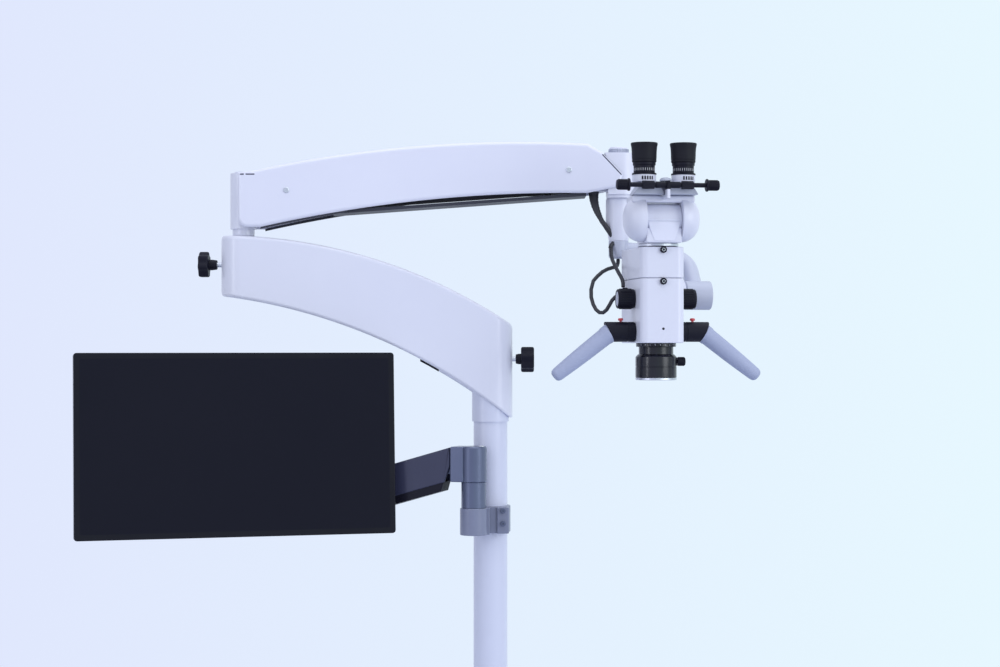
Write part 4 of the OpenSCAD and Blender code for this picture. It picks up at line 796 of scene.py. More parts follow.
def coil(name: str, body: str, finish: Finish, place: Matrix, radius: float, wire: float, length: float,
         turns: float, *nodes: str) -> bpy.types.Object:
    """Winds a round wire into a coil spring along the place's +Z.

    Args:
        name: The piece's name.
        body: The body that carries it.
        finish: What it is finished in.
        place: The foot of its axis.
        radius: Radius of the coil, to the wire's middle.
        wire: Radius of the wire.
        length: Length of the coil.
        turns: How many turns it has.
        nodes: The CAD nodes that it stands for.

    Returns:
        The piece.
    """
    tree = Repeats(name, [
        ("Turns", "Float", float(turns)), ("Radius", "Float", float(radius)),
        ("Length", "Float", float(length)), ("Wire", "Float", float(wire))])
    given = tree.inputs
    helix = tree.node("GeometryNodeCurveSpiral", Resolution=24, Rotations=given["Turns"],
                      Start_Radius=given["Radius"], End_Radius=given["Radius"], Height=given["Length"])
    section = tree.node("GeometryNodeCurvePrimitiveCircle", Resolution=8, Radius=given["Wire"])
    wound = tree.node("GeometryNodeCurveToMesh", Curve=helix.outputs[0], Profile_Curve=section.outputs[0],
                      Fill_Caps=True)
    return tree.make(wound.outputs["Mesh"], place, name, body, finish, nodes)


def on_points(name: str, body: str, finish: Finish, form: Form, ends: tuple[Point, Point], place: Matrix,
              *nodes: str) -> bpy.types.Object:
    """Sets one finished shape at two points, as for screws and bolts.

    Args:
        name: The piece's name.
        body: The body that carries it.
        finish: What it is finished in.
        form: The shape, in millimetres about its own origin.
        ends: Where each one stands, in the place's millimetres.
        place: The frame of the points and of the shape's directions.
        nodes: The CAD nodes that the piece stands for.

    Returns:
        The piece.
    """
    shape = form.loose(name + "_shape")
    tree = Repeats(name, [("Shape", "Object", shape), ("Start", "Vector", ends[0]),
                          ("End", "Vector", ends[1])])
    line = tree.node("GeometryNodeMeshLine", {"mode": "END_POINTS"}, Count=len(ends),
                     Start_Location=tree.inputs["Start"], Offset=tree.inputs["End"])
    model = tree.node("GeometryNodeObjectInfo", Object=tree.inputs["Shape"])
    many = tree.node("GeometryNodeInstanceOnPoints", Points=line.outputs["Mesh"],
                     Instance=model.outputs["Geometry"])
    made = tree.make(many.outputs["Instances"], place, name, body, finish, nodes)
    discard(shape)
    return made


# Camera and light


@dataclass
class Studio:
    """The pale studio: camera, lamps, floor and the colour behind.

    Attributes:
        eye: Where the camera stands, in metres.
        lens: Focal length.
        sensor: Width of the camera's sensor.
        shift: How far the frame is raised, as a share of its width.
        left: Background at the left of the frame, linear.
        right: Background at the right of the frame, linear.
        edges: Sideways part of the view's direction where the background is wholly left, and wholly right.
        around: Colour of the light from all round, linear.
        around_left: Strength of the light from the world's left.
        around_right: Strength of the light from its right.
        middle: What the lamps point at.
        floor_r: Radius of the round floor, which ends below the frame.
        floor_sides: Stretches of the floor's rim.
    """

    eye: Point = (0.0152, -3.2, 1.44)
    lens: float = 72.0
    sensor: float = 36.0
    shift: float = 0.0115
    left: Point = (0.745, 0.800, 0.985)
    right: Point = (0.800, 0.940, 1.0)
    edges: Pair = (-0.25, 0.27)
    around: Point = (0.84, 0.88, 1.0)
    around_left: float = 0.60
    around_right: float = 0.92
    middle: Point = (0.0, 0.0, 1.4)
    floor_r: float = 2.8
    floor_sides: int = 96

    def set_camera(self) -> None:
        """Places the camera, level and square to the photograph's view."""
        data = bpy.data.cameras.new("camera")
        data.lens = self.lens
        data.sensor_width = self.sensor
        data.shift_y = self.shift
        camera = new_object("camera", data)
        camera.location = self.eye
        camera.rotation_euler = (math.pi / 2, 0, 0)
        bpy.context.scene.camera = camera
        bpy.context.scene.view_settings.view_transform = "Standard"

    def lamp(self, name: str, where: Point, size: Pair, power: float, tint: Point) -> None:
        """Hangs a flat soft lamp of a width and height that points at the middle."""
        data = bpy.data.lights.new(name, "AREA")
        data.shape = "RECTANGLE"
        data.size, data.size_y = size
        data.energy = power
        data.color = tint
        lamp = new_object(name, data)
        lamp.location = where
        lamp.rotation_euler = (Vector(self.middle) - Vector(where)).to_track_quat("-Z", "Y").to_euler()

    def light(self) -> None:
        """Hangs the lamps and sets the world behind and around."""
        self.lamp("top_lamp", (0.3, -0.6, 4.2), (3.0, 3.0), 40, (0.92, 0.94, 1.0))
        self.lamp("left_lamp", (-3.2, -2.6, 2.4), (0.7, 2.6), 30, (0.90, 0.93, 1.0))
        self.lamp("right_lamp", (3.0, -2.4, 2.2), (1.8, 2.0), 44, (0.93, 0.97, 1.0))
        world = bpy.data.worlds.new("studio")
        bpy.context.scene.world = world
        world.use_nodes = True
        tree = world.node_tree
        tree.nodes.clear()
        way = tree.nodes.new("ShaderNodeTexCoord").outputs["Generated"]
        sideways = add_node(tree, "ShaderNodeSeparateXYZ", Vector=way).outputs["X"]
        spread = add_node(tree, "ShaderNodeMapRange", Value=sideways, From_Min=self.edges[0],
                          From_Max=self.edges[1])
        tone = add_node(tree, "ShaderNodeMix", {"data_type": "RGBA"}, Factor=spread.outputs[0],
                        A=(*self.left, 1), B=(*self.right, 1))
        seen = add_node(tree, "ShaderNodeBackground", Color=tone.outputs["Result"])
        slope = add_node(tree, "ShaderNodeMapRange", Value=sideways, From_Min=-1, To_Min=self.around_left,
                         To_Max=self.around_right)
        around = add_node(tree, "ShaderNodeBackground", Color=(*self.around, 1), Strength=slope.outputs[0])
        path = tree.nodes.new("ShaderNodeLightPath").outputs
        straight = maths(tree, "MAXIMUM", path["Is Camera Ray"], path["Is Transmission Ray"])
        mirrored = maths(tree, "MAXIMUM", straight, path["Is Glossy Ray"])
        choose = tree.nodes.new("ShaderNodeMixShader")
        for socket, source in zip(choose.inputs, (mirrored, around.outputs[0], seen.outputs[0])):
            plug(tree, source, socket)
        add_node(tree, "ShaderNodeOutputWorld", Surface=choose.outputs[0])

    def lay_floor(self) -> None:
        """Lays the plain pale floor."""
        data = bpy.data.meshes.new("floor")
        r = self.floor_r
        rim = [(r * math.cos(t), r * math.sin(t), 0) for t in full_turn(self.floor_sides)]
        data.from_pydata(rim, [], [tuple(range(len(rim)))])
        dress(data, FLOOR_PAINT)
        new_object("floor", data)


# Stand


@dataclass
class Stand:
    """The column, the four-legged base and its casters.

    Attributes:
        column_r: Radius of the column.
        column_bore: Inner radius of the column.
        column_low: Height of the column's foot.
        column_top: Height of the column's top.
        reach: Distance of the caster stems from the column.
        trail: Distance of a wheel's axle behind its stem.
        wheel_r: Radius of a wheel.
        half_w: Half the width of a wheel.
        half_axle: Where the fork's cheeks end along the axle.
        cover_top: Height at which the column enters the base cover.
    """

    column_r: float = 27.0
    column_bore: float = 23.5
    column_low: float = 105.0
    column_top: float = 1455.0
    reach: float = 400.0
    trail: float = 22.0
    wheel_r: float = 37.5
    half_w: float = 13.0
    half_axle: float = 20.0
    cover_top: float = 222.0

    def casters(self) -> list[tuple[str, Matrix]]:
        """Gives each caster's name and the place of its stem."""
        turns = {"front_left": (225, -25), "front_right": (315, -13), "back_right": (45, -1),
                 "back_left": (135, 11)}
        places = []
        for name, (leg, own) in turns.items():
            way = math.radians(leg)
            places.append((name, at(self.reach * math.cos(way), self.reach * math.sin(way), 0, own)))
        return places

    def build_column(self) -> None:
        """Turns the column tube."""
        profile = sleeve(self.column_bore, self.column_r, self.column_low, self.column_top, 1)
        Form().turned(profile, sides=96, hollow=True).piece("column_tube", "stand", COLUMN_PAINT, "column")

    def wheel_profile(self) -> list[Pair]:
        """Gives a wheel's section: hub, dished disc and crowned tread."""
        w, r = self.half_w, self.wheel_r
        hub = [(5.3, w), (15, w), (17, w - 3.4), (27, w - 4), (29.5, w - 1.2)]
        half = [*hub, (r - 4, w), (r - 1.2, w - 2), (r, w - 6)]
        return [(x, -z) for x, z in half] + list(reversed(half))

    def build_casters(self) -> None:
        """Turns the wheels with their hub ribs, and finishes the forks."""
        out = self.half_axle
        nut = [(0, out), (5.2, out), (5.2, out + 2.6), (4.4, out + 3.6), (0, out + 3.6)]
        for name, place in self.casters():
            axle = along_x(place, 0, -self.trail, self.wheel_r)
            Form().turned(self.wheel_profile(), axle, 72, hollow=True).piece(
                "tread_" + name, "wheel_" + name, TREAD, "caster_wheel_" + name)
            rib_ring("hub_ribs_" + name, "wheel_" + name, TREAD, axle, 10, 22, (9, 2, 19))
            paint("caster_fork_" + name, ZINC)
            nuts = Form()
            for way in (-1, 1):
                nuts.turned(nut, along_x(place, 0, -self.trail, self.wheel_r, way), 6)
            nuts.piece("axle_nuts_" + name, "caster_" + name, ZINC)

    def build_base(self) -> None:
        """Finishes the base casting and its cover, with a trim ring where the column enters."""
        paint("base_frame", CAST_PAINT)
        paint("base_cover", COVER_WHITE)
        bore = self.column_r + 0.6
        ring = [(bore, 0), (33, 0), (34.5, 1.5), (34.5, 5), (33, 7), (bore, 7)]
        Form().turned(ring, at(0, 0, self.cover_top), 72, hollow=True).piece(
            "column_trim_ring", "stand", BLACK_PLASTIC)
        rib_ring("cover_vents", "stand", BLACK_PLASTIC, at(0, 0, self.cover_top - 24), 28, 66, (2.0, 2.2, 16))

    def build(self) -> None:
        """Builds the stand."""
        self.build_column()
        self.build_casters()
        self.build_base()


# Lower arm


@dataclass
class LowerArm:
    """The curved lower arm that turns on the column, with its two brake knobs.

    Attributes:
        reach: Distance from the column to the elbow.
        r: Half the arm's width, and the radius of its ends.
        soft: Radius of its long edges.
        knob_r: Radius of a brake knob.
        lobe: How far a knob's lobes rise and fall.
        lobes: How many lobes a knob has.
        top_left: Height of its upper edge at the elbow's end.
        top_right: Height of its upper edge at the column's end.
        low_left: Height of its lower edge at the elbow's end.
        low_right: Height of its lower edge at the column's end.
    """

    reach: float = 395.0
    r: float = 35.0
    soft: float = 6.0
    knob_r: float = 21.0
    lobe: float = 1.6
    lobes: int = 7
    top_left: float = 1614.0
    top_right: float = 1472.0
    low_left: float = 1518.0
    low_right: float = 1321.0

    def top_line(self) -> list[Pair]:
        """Gives the arm's upper edge, from left to right."""
        return bow((-self.reach - self.r, self.top_left), (self.r, self.top_right), 36.5)

    def low_line(self) -> list[Pair]:
        """Gives the arm's lower edge, from left to right."""
        return bow((-self.reach - self.r, self.low_left), (self.r, self.low_right), 35.5)

    def stations(self) -> list[Pair]:
        """Gives places along the arm, each with half the arm's width there."""
        turns = quarter(14)
        spans = 44
        left = [(-self.reach - self.r * math.cos(t), max(self.r * math.sin(t), 0.05)) for t in turns]
        middle = [(-self.reach * (1 - i / spans), self.r) for i in range(1, spans)]
        right = [(self.r * math.sin(t), max(self.r * math.cos(t), 0.05)) for t in turns]
        return left + middle + right

    def build_shell(self) -> None:
        """Lofts the shell from sections with round edges and bores it for the column's sleeve."""
        top, low = self.top_line(), self.low_line()
        rings = []
        for x, w in self.stations():
            deep = min(x + self.reach + self.r, self.r - x, self.soft)
            drop = self.soft - math.sqrt(max(self.soft**2 - (self.soft - deep) ** 2, 0))
            z0, z1 = height_on(low, x) + drop, height_on(top, x) - drop
            section = round_rect(2 * w, z1 - z0, min(self.soft, w - 0.02), 0, (z0 + z1) / 2, 5)
            rings.append([Vector((x, y, z)) for y, z in section])
        bore = Form().turned(disc(29.6, 1290, 1461), sides=72)
        Form().loft(rings).minus(bore).piece("lower_arm_cover", "lower_arm", CASTING_WHITE, "lower_arm_shell",
                                             sharp=50)
        paint("column_sleeve", COLUMN_PAINT)
        foot, head, bore_r = self.top_left - 16, self.top_left + 0.8, 12.3
        collar = [(bore_r, foot), (17.5, foot), (17.5, head - 1.2), (16.6, head), (bore_r, head)]
        Form().turned(collar, at(-self.reach), 72, hollow=True).piece("elbow_collar", "lower_arm",
                                                                      CASTING_WHITE)

    def build_trim(self) -> None:
        """Lays the narrow trim under the arm, with its black end."""
        low = self.low_line()

        def strip(x0: float, x1: float, out: float) -> list[Pair]:
            """Outlines a strip that hangs `out` below the arm between two places."""
            xs = [x0 + (x1 - x0) * i / 12 for i in range(13)]
            inside = [(x, height_on(low, x) + 3) for x in xs]
            return inside + [(x, height_on(low, x) - out) for x in reversed(xs)]

        Form().slab(strip(-82, -24, 3.6), -13, 13, FRONT, 1.2).piece("under_trim", "lower_arm", CASTING_WHITE)
        Form().slab(strip(-112, -83, 4.2), -14, 14, FRONT, 1.6).piece("under_trim_end", "lower_arm",
                                                                      BLACK_PLASTIC)

    def knob(self, which: str, place: Matrix, neck: float, thick: float, screw: float) -> None:
        """Makes a lobed brake knob whose +Z points away from the arm.

        Args:
            which: What it brakes, as the names of its piece, body and node write it.
            place: The foot of its neck, with +Z outwards.
            neck: Length of the neck.
            thick: Thickness of the head.
            screw: Length of the screw behind the neck.
        """
        turns = full_turn(16 * self.lobes)
        radii = [self.knob_r - self.lobe + self.lobe * math.cos(self.lobes * t) for t in turns]
        outline = [(r * math.cos(t), r * math.sin(t)) for r, t in zip(radii, turns)]
        stem = [(0, -0.5), (7.0, -0.5), (7.6, 0.3), (8.5, neck * 0.6), (8.5, neck + 1), (0, neck + 1)]
        form = Form().slab(outline, neck, neck + thick, place, 3.0, 5)
        form.turned(stem, place, 48).turned(rounded(11, neck + thick - 1, neck + thick + 0.01, 0.5), place,
                                            48)
        body = which + "_brake"
        form.piece(which + "_knob", body, BLACK_PLASTIC, body + "_knob", sharp=34)
        Form().turned(rounded(3.9, -screw, 0.5, 0.6), place, 32).piece(which + "_knob_screw", body,
                                                                       STEEL_ACROSS)

    def build(self) -> None:
        """Builds the lower arm with the brake knobs of the elbow and of the column."""
        self.build_shell()
        self.build_trim()
        self.knob("elbow", along_x(WORLD, -self.reach - 42.6, 0, 1568, -1), neck=12.4, thick=16, screw=29)
        self.knob("column", along_x(WORLD, 40.8, 0, 1417.6), neck=8, thick=20.8, screw=12)


# Upper arm


@dataclass
class UpperArm:
    """The spring arm: moulded cover, beam, lower link, spring and end block.

    Attributes:
        elbow_x: Where the elbow's axis stands.
        half_w: Half the cover's width.
        wall: The cover's wall.
        soft: Radius of its long edges.
        heel_r: Radius of its lower corner at the elbow.
        nose: Where its slanted end starts, from the elbow's axis.
        tip: Where its slanted end ends.
        pivots: The beam's pivots on the elbow yoke and on the end block.
    """

    elbow_x: float = -395.0
    half_w: float = 38.0
    wall: float = 3.0
    soft: float = 6.5
    heel_r: float = 15.0
    nose: Pair = (573.0, 1745.0)
    tip: Pair = (606.0, 1710.0)
    pivots: tuple[Point, Point] = ((-323, 1685, 0), (124, 1717, 0))

    def from_elbow(self, x: float, z: float) -> Pair:
        """Gives a point of the side view from its distance to the elbow's axis and its height."""
        return (self.elbow_x + x, z)

    def top_line(self, drop: float = 0.0) -> list[Pair]:
        """Gives the cover's upper edge from left to right, lowered by `drop`."""
        return bow(self.from_elbow(18, 1716.7 - drop), self.from_elbow(549, 1759.4 - drop), 17.8, 56)

    def low_line(self) -> list[Pair]:
        """Gives the cover's lower edge from left to right."""
        return bow(self.from_elbow(31, 1625.8), self.from_elbow(548, 1679.5), 15.4, 56)

    def outline(self) -> list[Pair]:
        """Gives the cover's side view."""
        back = self.elbow_x - 5
        heel = arc(back + self.heel_r, 1626 + self.heel_r, self.heel_r, 180, 270)
        front = [self.from_elbow(600, 1690), self.from_elbow(*self.tip), self.from_elbow(*self.nose)]
        return [(back, 1713.7), *heel, *self.low_line(), *front, *reversed(self.top_line())]

    def inside(self) -> list[Pair]:
        """Gives the side view of what the cover's inside leaves free, open over the elbow and the swivel."""
        back, front, low, high = self.elbow_x - 7, self.elbow_x + 612, 1587, 1790
        nose, _ = self.nose
        under_skin = [p for p in self.top_line(self.wall) if self.elbow_x + 50 < p[0] < self.elbow_x + 549]
        roof = [self.from_elbow(nose, 1742), *reversed(under_skin), self.from_elbow(50, 1719.5)]
        return [(back, low), (front, low), (front, high), self.from_elbow(nose, high), *roof,
                self.from_elbow(50, high), (back, high)]

    def build_cover(self) -> None:
        """Makes the cover and its pivot pins with their slotted heads."""
        inner = self.half_w - self.wall
        cover = Form().slab(self.outline(), -self.half_w, self.half_w, FRONT, self.soft, 6)
        cover.minus(Form().slab(self.inside(), -inner, inner, FRONT))
        cover.piece("spring_arm_cover", "upper_arm", COVER_WHITE, "arm_cover", sharp=32)
        end = [(4.0, 38.0), (4.7, 38.2), (4.7, 38.9), (4.0, 39.4), (1.8, 39.5), (1.6, 38.9), (0.0, 38.9)]
        pin = Form().turned([(r, -z) for r, z in reversed(end)] + end, sides=32)
        on_points("pivot_pins_turned", "upper_arm", STEEL, pin, self.pivots, FRONT, "pivot_pins")

    def build_trim(self) -> None:
        """Lays painted shade and painted shadow on the cover: dark strips on its inner walls along its lower
        edge, a dark strip in the gap at its nose and dark slots under its top at the heel.
        """
        # Painted shade: dark strips on the cover's inner walls along its lower edge, where those walls lie in
        # shade.
        line = [p for p in self.low_line() if p[0] < self.elbow_x + 170]
        strip = [(x, z - 1.9) for x, z in line] + [(x, z + 2) for x, z in reversed(line)]
        form = Form()
        for y0, y1 in ((-34.8, -31.5), (31.5, 34.8)):
            form.slab(strip, y0, y1, FRONT, 0.5)
        form.piece("cover_strips", "upper_arm", TRAY_BLACK)
        # Painted shadow: a dark strip in the gap at the nose, and dark slots under the cover's top at the
        # heel, where the elbow's cap meets it.
        nose, tip = Vector(self.from_elbow(*self.nose)), Vector(self.from_elbow(*self.tip))
        along = (tip - nose).normalized()
        inward = Vector((along.y, -along.x))
        start, end = nose + along * 2, tip - along * 2
        gap = [start + inward * 2.2, end + inward * 2.2, end + inward * 4, start + inward * 4]
        marks = Form().slab([tuple(point) for point in gap], 35, 37.6, FRONT)
        for x0, x1 in ((-396, -390), (-387, -373)):
            marks.block((x0, -38.15, 1709.2), (x1, -34, 1711.2), WORLD, 0.2)
        marks.piece("cover_gaps", "upper_arm", ARM_GREY)

    def build_inside(self) -> None:
        """Finishes beam and link, and winds the lift spring on its rod."""
        paint("elbow_yoke", CASTING_WHITE)
        paint("arm_beam", SHADED_WHITE)
        paint("lower_link", TRAY_BLACK)
        (x0, z0, _), (x1, z1, _) = self.pivots
        beam = Matrix.Translation((x0, 0, z0)) @ Matrix.Rotation(-math.atan2(z1 - z0, x1 - x0), 4, "Y")
        axis = along_x(beam, 75, 0, 23)
        length = 190
        coil("lift_spring_coil", "upper_arm", ZINC, axis, 9.2, 1.7, length, 34, "lift_spring")
        Form().turned(rounded(5, 0.2, length - 0.2, 0.6), axis, 32).piece("spring_rod", "upper_arm",
                                                                          STEEL_ACROSS)

    def build_end(self) -> None:
        """Finishes the end block and makes the ribbed swivel knob on top of it."""
        paint("end_block", CASTING_WHITE)
        form = Form().turned(disc(4.9, 1727.2, 1745.1), SWIVEL, 32)
        cap = [(0, 0), (15.2, 0), (15.2, 8.6), (14.2, 10.6), (11, 11), (0, 11)]
        form.turned(cap, raised(SWIVEL, 1745), 72)
        form.piece("swivel_brake_cap", "swivel_brake", CASTING_WHITE, "swivel_knob")
        rib_ring("swivel_brake_ribs", "swivel_brake", SHADED_WHITE, raised(SWIVEL, 1749.6), 36, 15.6,
                 (1.4, 1.5, 6.4))

    def build(self) -> None:
        """Builds the spring arm."""
        self.build_cover()
        self.build_trim()
        self.build_inside()
        self.build_end()


# Head suspension


@dataclass
class Suspension:
    """The swivel housing under the end block, the curved yoke and the tilt joint.

    Attributes:
        tilt_y: Depth of the tilt axis in the head's frame.
        tilt_z: Height of the tilt axis.
        tilt_r: Radius of the tilt joint.
        shaft_r: Radius of the tilt joint's shaft.
        arm_r: Radius of the yoke's arm.
        arm_x: How far the yoke's arm stands beside the head's middle.
    """

    tilt_y: float = 55.0
    tilt_z: float = 1517.3
    tilt_r: float = 22.6
    shaft_r: float = 12.0
    arm_r: float = 13.0
    arm_x: float = 76.0

    def axis(self) -> Matrix:
        """Gives the tilt axis, with +Z to the yoke."""
        return along_x(HEAD, 0, self.tilt_y, self.tilt_z)

    def build_housing(self) -> None:
        """Turns the tapered swivel housing with its shaft."""
        profile = [
            (0, 1606), (15, 1606), (16, 1607.2), (20.5, 1637), (20.5, 1671), (19.4, 1673.9), (12, 1673.9),
            (12, 1744.6), (0, 1744.6),
        ]
        Form().turned(profile, SWIVEL, 72).piece("swivel_housing_turned", "carrier", CASTING_WHITE,
                                                 "swivel_housing")

    def build_yoke(self) -> None:
        """Sweeps the yoke from the housing's cup to the ring of the tilt joint."""
        start = tuple(HEAD.inverted() @ Vector((205, 0, 1592)))
        bends = [(40, 142, 1588), (self.arm_x, 110, 1572)]
        route = soft_route([start, *bends, (self.arm_x, self.tilt_y, self.tilt_z)], 24)
        form = Form().tube(route, [self.arm_r] * len(route), HEAD, 40)
        cup = [(0, 1578), (13, 1578), (15.2, 1579.6), (16, 1582), (16, 1605.9), (0, 1605.9)]
        form.turned(cup, SWIVEL, 64)
        bore, r = self.shaft_r + 0.4, self.tilt_r
        ring = [(bore, 56.4), (r - 2, 56.4), (r, 58.4), (r, 96.7), (r - 1, 98.2), (19.5, 98.7), (17.5, 98.7),
                (16.9, 97.6), (bore, 97.6)]
        form.turned(ring, self.axis(), 72, hollow=True).turned(disc(bore + 0.2, 90.2, 97.4), self.axis(), 48)
        # The yoke is finished in painted shade, a darker copy of the white casting.
        form.piece("yoke_swept", "carrier", YOKE_PAINTED_SHADE, "yoke_arm", sharp=34)

    def build_joint(self) -> None:
        """Turns the head's side of the tilt joint, with its seam rings."""
        r, shaft = self.tilt_r, self.shaft_r
        hub = [
            (0, 33), (r - 1.4, 33), (r - 1.4, 41), (r, 41.6), (r, 48.4), (r - 0.6, 49), (r - 0.6, 50),
            (r, 50.6), (r, 55.2), (r - 0.8, 56), (shaft, 56), (shaft, 89.7), (0, 89.7),
        ]
        Form().turned(hub, self.axis(), 72).piece("tilt_joint", "head", HEAD_WHITE, "tilt_hub")

    def build(self) -> None:
        """Builds the suspension."""
        self.build_housing()
        self.build_yoke()
        self.build_joint()


# Head


@dataclass
class MicroscopeHead:
    """The optical head: body, beam splitter stage, objective, knobs and handles.

    Attributes:
        half_w: Half its width.
        front: Distance of its front from the optical axis.
        back: Distance of its back from the optical axis.
        corner: Radius of its upright corners.
        low: Height of its underside.
        seam: Height of the seam under the stage.
        top: Height of its top.
        gap: Width of that seam.
        zoom_z: Height of the magnification knobs.
        focus_z: Height of the focus knob.
        rim_z: Height of the objective's lower rim.
        handle_y: Depth of the handles' joints.
        handle_z: Height of the handles' joints.
        joint_r: Radius of a handle's joint.
        joint_end: Where a joint's slanted face meets its underside.
        face_x: Where the middle of that face is.
        face_lean: How far that face leans, in degrees.
        fall: How far a grip points below level, in degrees.
    """

    half_w: float = 34.0
    front: float = 50.0
    back: float = 107.0
    corner: float = 12.0
    low: float = 1443.0
    seam: float = 1541.0
    top: float = 1588.0
    gap: float = 0.6
    zoom_z: float = 1510.4
    focus_z: float = 1414.8
    rim_z: float = 1386.4
    handle_y: float = -4.0
    handle_z: float = 1460.0
    joint_r: float = 15.3
    joint_end: float = 83.0
    face_x: float = 75.6
    face_lean: float = 23.0
    fall: float = 38.0

    def plan(self) -> list[Pair]:
        """Gives the head's plan, in its own frame."""
        depth = self.front + self.back
        return round_rect(2 * self.half_w, depth, self.corner, 0, (self.back - self.front) / 2, 10)

    def build_body(self) -> None:
        """Makes body and stage with a fine groove between them, the cable gland and the plug in front."""
        body_top, stage_low = self.seam - self.gap / 2, self.seam + self.gap / 2
        Form().slab(self.plan(), self.low, body_top, HEAD, 1.6).piece("head_casting", "head", HEAD_WHITE,
                                                                      "head_body")
        Form().slab(self.plan(), stage_low, self.top, HEAD, 1.4).piece(
            "stage_casting", "head", HEAD_WHITE, "splitter_stage")
        gland = [(0, 33.5), (12, 33.5), (12, 40), (10.6, 41), (10.6, 43), (9.4, 44), (0, 44)]
        Form().turned(gland, along_x(HEAD, 0, 55, 1517.3, -1), 48).piece("cable_gland", "head", BLACK_PLASTIC)
        plug_place = facing_front(HEAD, 0.4, -self.front, 1464.5)
        Form().turned(rounded(1.9, -1, 0.5, 0.4), plug_place, 32).piece("front_plug", "head", BLACK_PLASTIC)

    def build_screws(self) -> None:
        """Sets the two black cap screws in the head's front, with their bright hexagon sockets."""
        place = facing_front(HEAD, 0, -self.front, 0)
        ends = ((0, 1536, 0), (0, 1583.5, 0))
        screw = Form().turned([(0, -8), (3, -8), (3, 0), (4.6, 0), (5, 0.5), (5, 4.2), (4.3, 5), (0, 5)],
                              sides=40)
        screw.minus(Form().turned(disc(2.6, 2.5, 6), sides=6))
        on_points("front_cap_screws", "head", BLACK_PLASTIC, screw, ends, place, "cap_screws")
        bright = Form().turned([(1.5, 2.6), (2.5, 2.6), (2.5, 5.15), (1.9, 5.15)], sides=24, hollow=True)
        on_points("cap_screw_sockets", "head", STEEL, bright, ends, place)

    def build_zoom(self) -> None:
        """Makes the magnification knobs with their ribs and end caps, and finishes the drum."""
        paint("zoom_drum", STEEL_ACROSS)
        knob = [(5.1, 34.4), (13.6, 34.4), (14.8, 35.6), (14.8, 38), (15.1, 38.5), (15.1, 57.7), (14.8, 58.3),
                (14.8, 59.9), (13.6, 61.0), (12.2, 61.0), (11.8, 59.7), (5.1, 59.7)]
        cap = [(0, 57), (11.6, 57), (11.6, 60), (10.8, 60.7), (0, 60.9)]
        for side in Side:
            axis = along_x(HEAD, 0, 0, self.zoom_z, side.value)
            name = "magnification_knob_" + side.word
            Form().turned(knob, axis, 72, hollow=True).piece(
                name, "magnification", BLACK_PLASTIC, "zoom_knob_" + side.word)
            rib_ring(name + "_ribs", "magnification", BLACK_PLASTIC, raised(axis, 48), 30, 15.2,
                     (1.2, 1.8, 18))
            Form().turned(cap, axis, 48).piece(name + "_cap", "magnification", SHADED_WHITE)

    def build_objective(self) -> None:
        """Turns mount, barrel, bright lower rim, lens and focus knob."""
        collar = [(19, -31), (23.9, -31), (23.9, -17), (26.4, -17), (26.4, -6.4), (27.4, -5.8), (30, -5.8),
                  (30.6, -5.2), (30.6, -0.6), (30, 0), (19, 0)]
        Form().turned(collar, raised(HEAD, self.low), 96, hollow=True).piece(
            "objective_collar", "head", BLACK_GLOSS, "objective_mount")
        rib_ring("collar_marks", "head", MARK_WHITE, raised(HEAD, self.low - 2.8), 24, 30.5, (0.4, 0.6, 1.4))
        foot = raised(HEAD, self.rim_z)
        bore, r = 24.1, 31.5
        barrel = [(bore, 3.8), (r - 0.3, 3.8), (r - 0.3, 4.6), (r, 5), (r, 19.6), (r - 0.4, 20),
                  (r - 0.4, 20.8), (r, 21.2), (r, 34.6), (r - 0.6, 36.2), (27.4, 39.5), (bore, 39.5)]
        Form().turned(barrel, foot, 96, hollow=True).piece(
            "objective_sleeve", "head", BLACK_GLOSS, "objective_barrel")
        rim = [(22.2, 0), (30.4, 0), (31.4, 0.8), (31.4, 3.2), (30.8, 3.9), (24.0, 3.9), (24.0, 2.4),
               (22.2, 2.4)]
        Form().turned(rim, foot, 96, hollow=True).piece("objective_rim", "head", STEEL)
        dome = [(0, 12.2), (8, 11.9), (16, 11.2), (23.9, 10.6), (23.9, 19.6), (0, 19.6)]
        Form().turned(dome, foot, 72).piece("front_lens", "lens", LENS, "objective_lens")
        axis = along_x(HEAD, 0, 0, self.focus_z)
        focus = [(0, 24.4), (3, 24.4), (3, 33), (6.2, 33), (6.5, 33.6), (6.5, 44), (5.8, 45), (0, 45)]
        Form().turned(focus, axis, 40).piece("focus_wheel", "focus", BLACK_PLASTIC, "focus_knob")
        rib_ring("focus_ribs", "focus", BLACK_PLASTIC, raised(axis, 39.2), 20, 6.6, (0.6, 0.9, 9))

    def build_joint(self, side: Side, place: Matrix) -> None:
        """Makes a handle's black joint: its grooved barrel with a slanted face, on its stub."""
        slant = math.tan(math.radians(self.face_lean))
        r = self.joint_r

        def ring(x: float, radius: float, lean: float = 0.0) -> list[Vector]:
            """Gives a ring of the joint at x, leaning with the height by `lean`."""
            circle = [(radius * math.cos(t), radius * math.sin(t)) for t in full_turn(48)]
            return [Vector((x + lean * up, self.handle_y + out, self.handle_z + up)) for out, up in circle]

        joint = Form().loft([
            ring(self.half_w + 0.4, r - 1.5), ring(self.half_w + 1.6, r), ring(44, r), ring(44.6, r - 0.5),
            ring(45.6, r - 0.5), ring(46.2, r), ring(self.face_x - 1.4, r, slant),
            ring(self.face_x - 0.3, r - 0.9, slant),
        ], place)
        stub = disc(7.9, self.half_w - 12, self.half_w + 1)
        joint.turned(stub, along_x(place, 0, self.handle_y, self.handle_z), 40)
        body = "handle_" + side.word
        joint.piece(body + "_joint", body, BLACK_PLASTIC, "handle_joint_" + side.word, sharp=34)

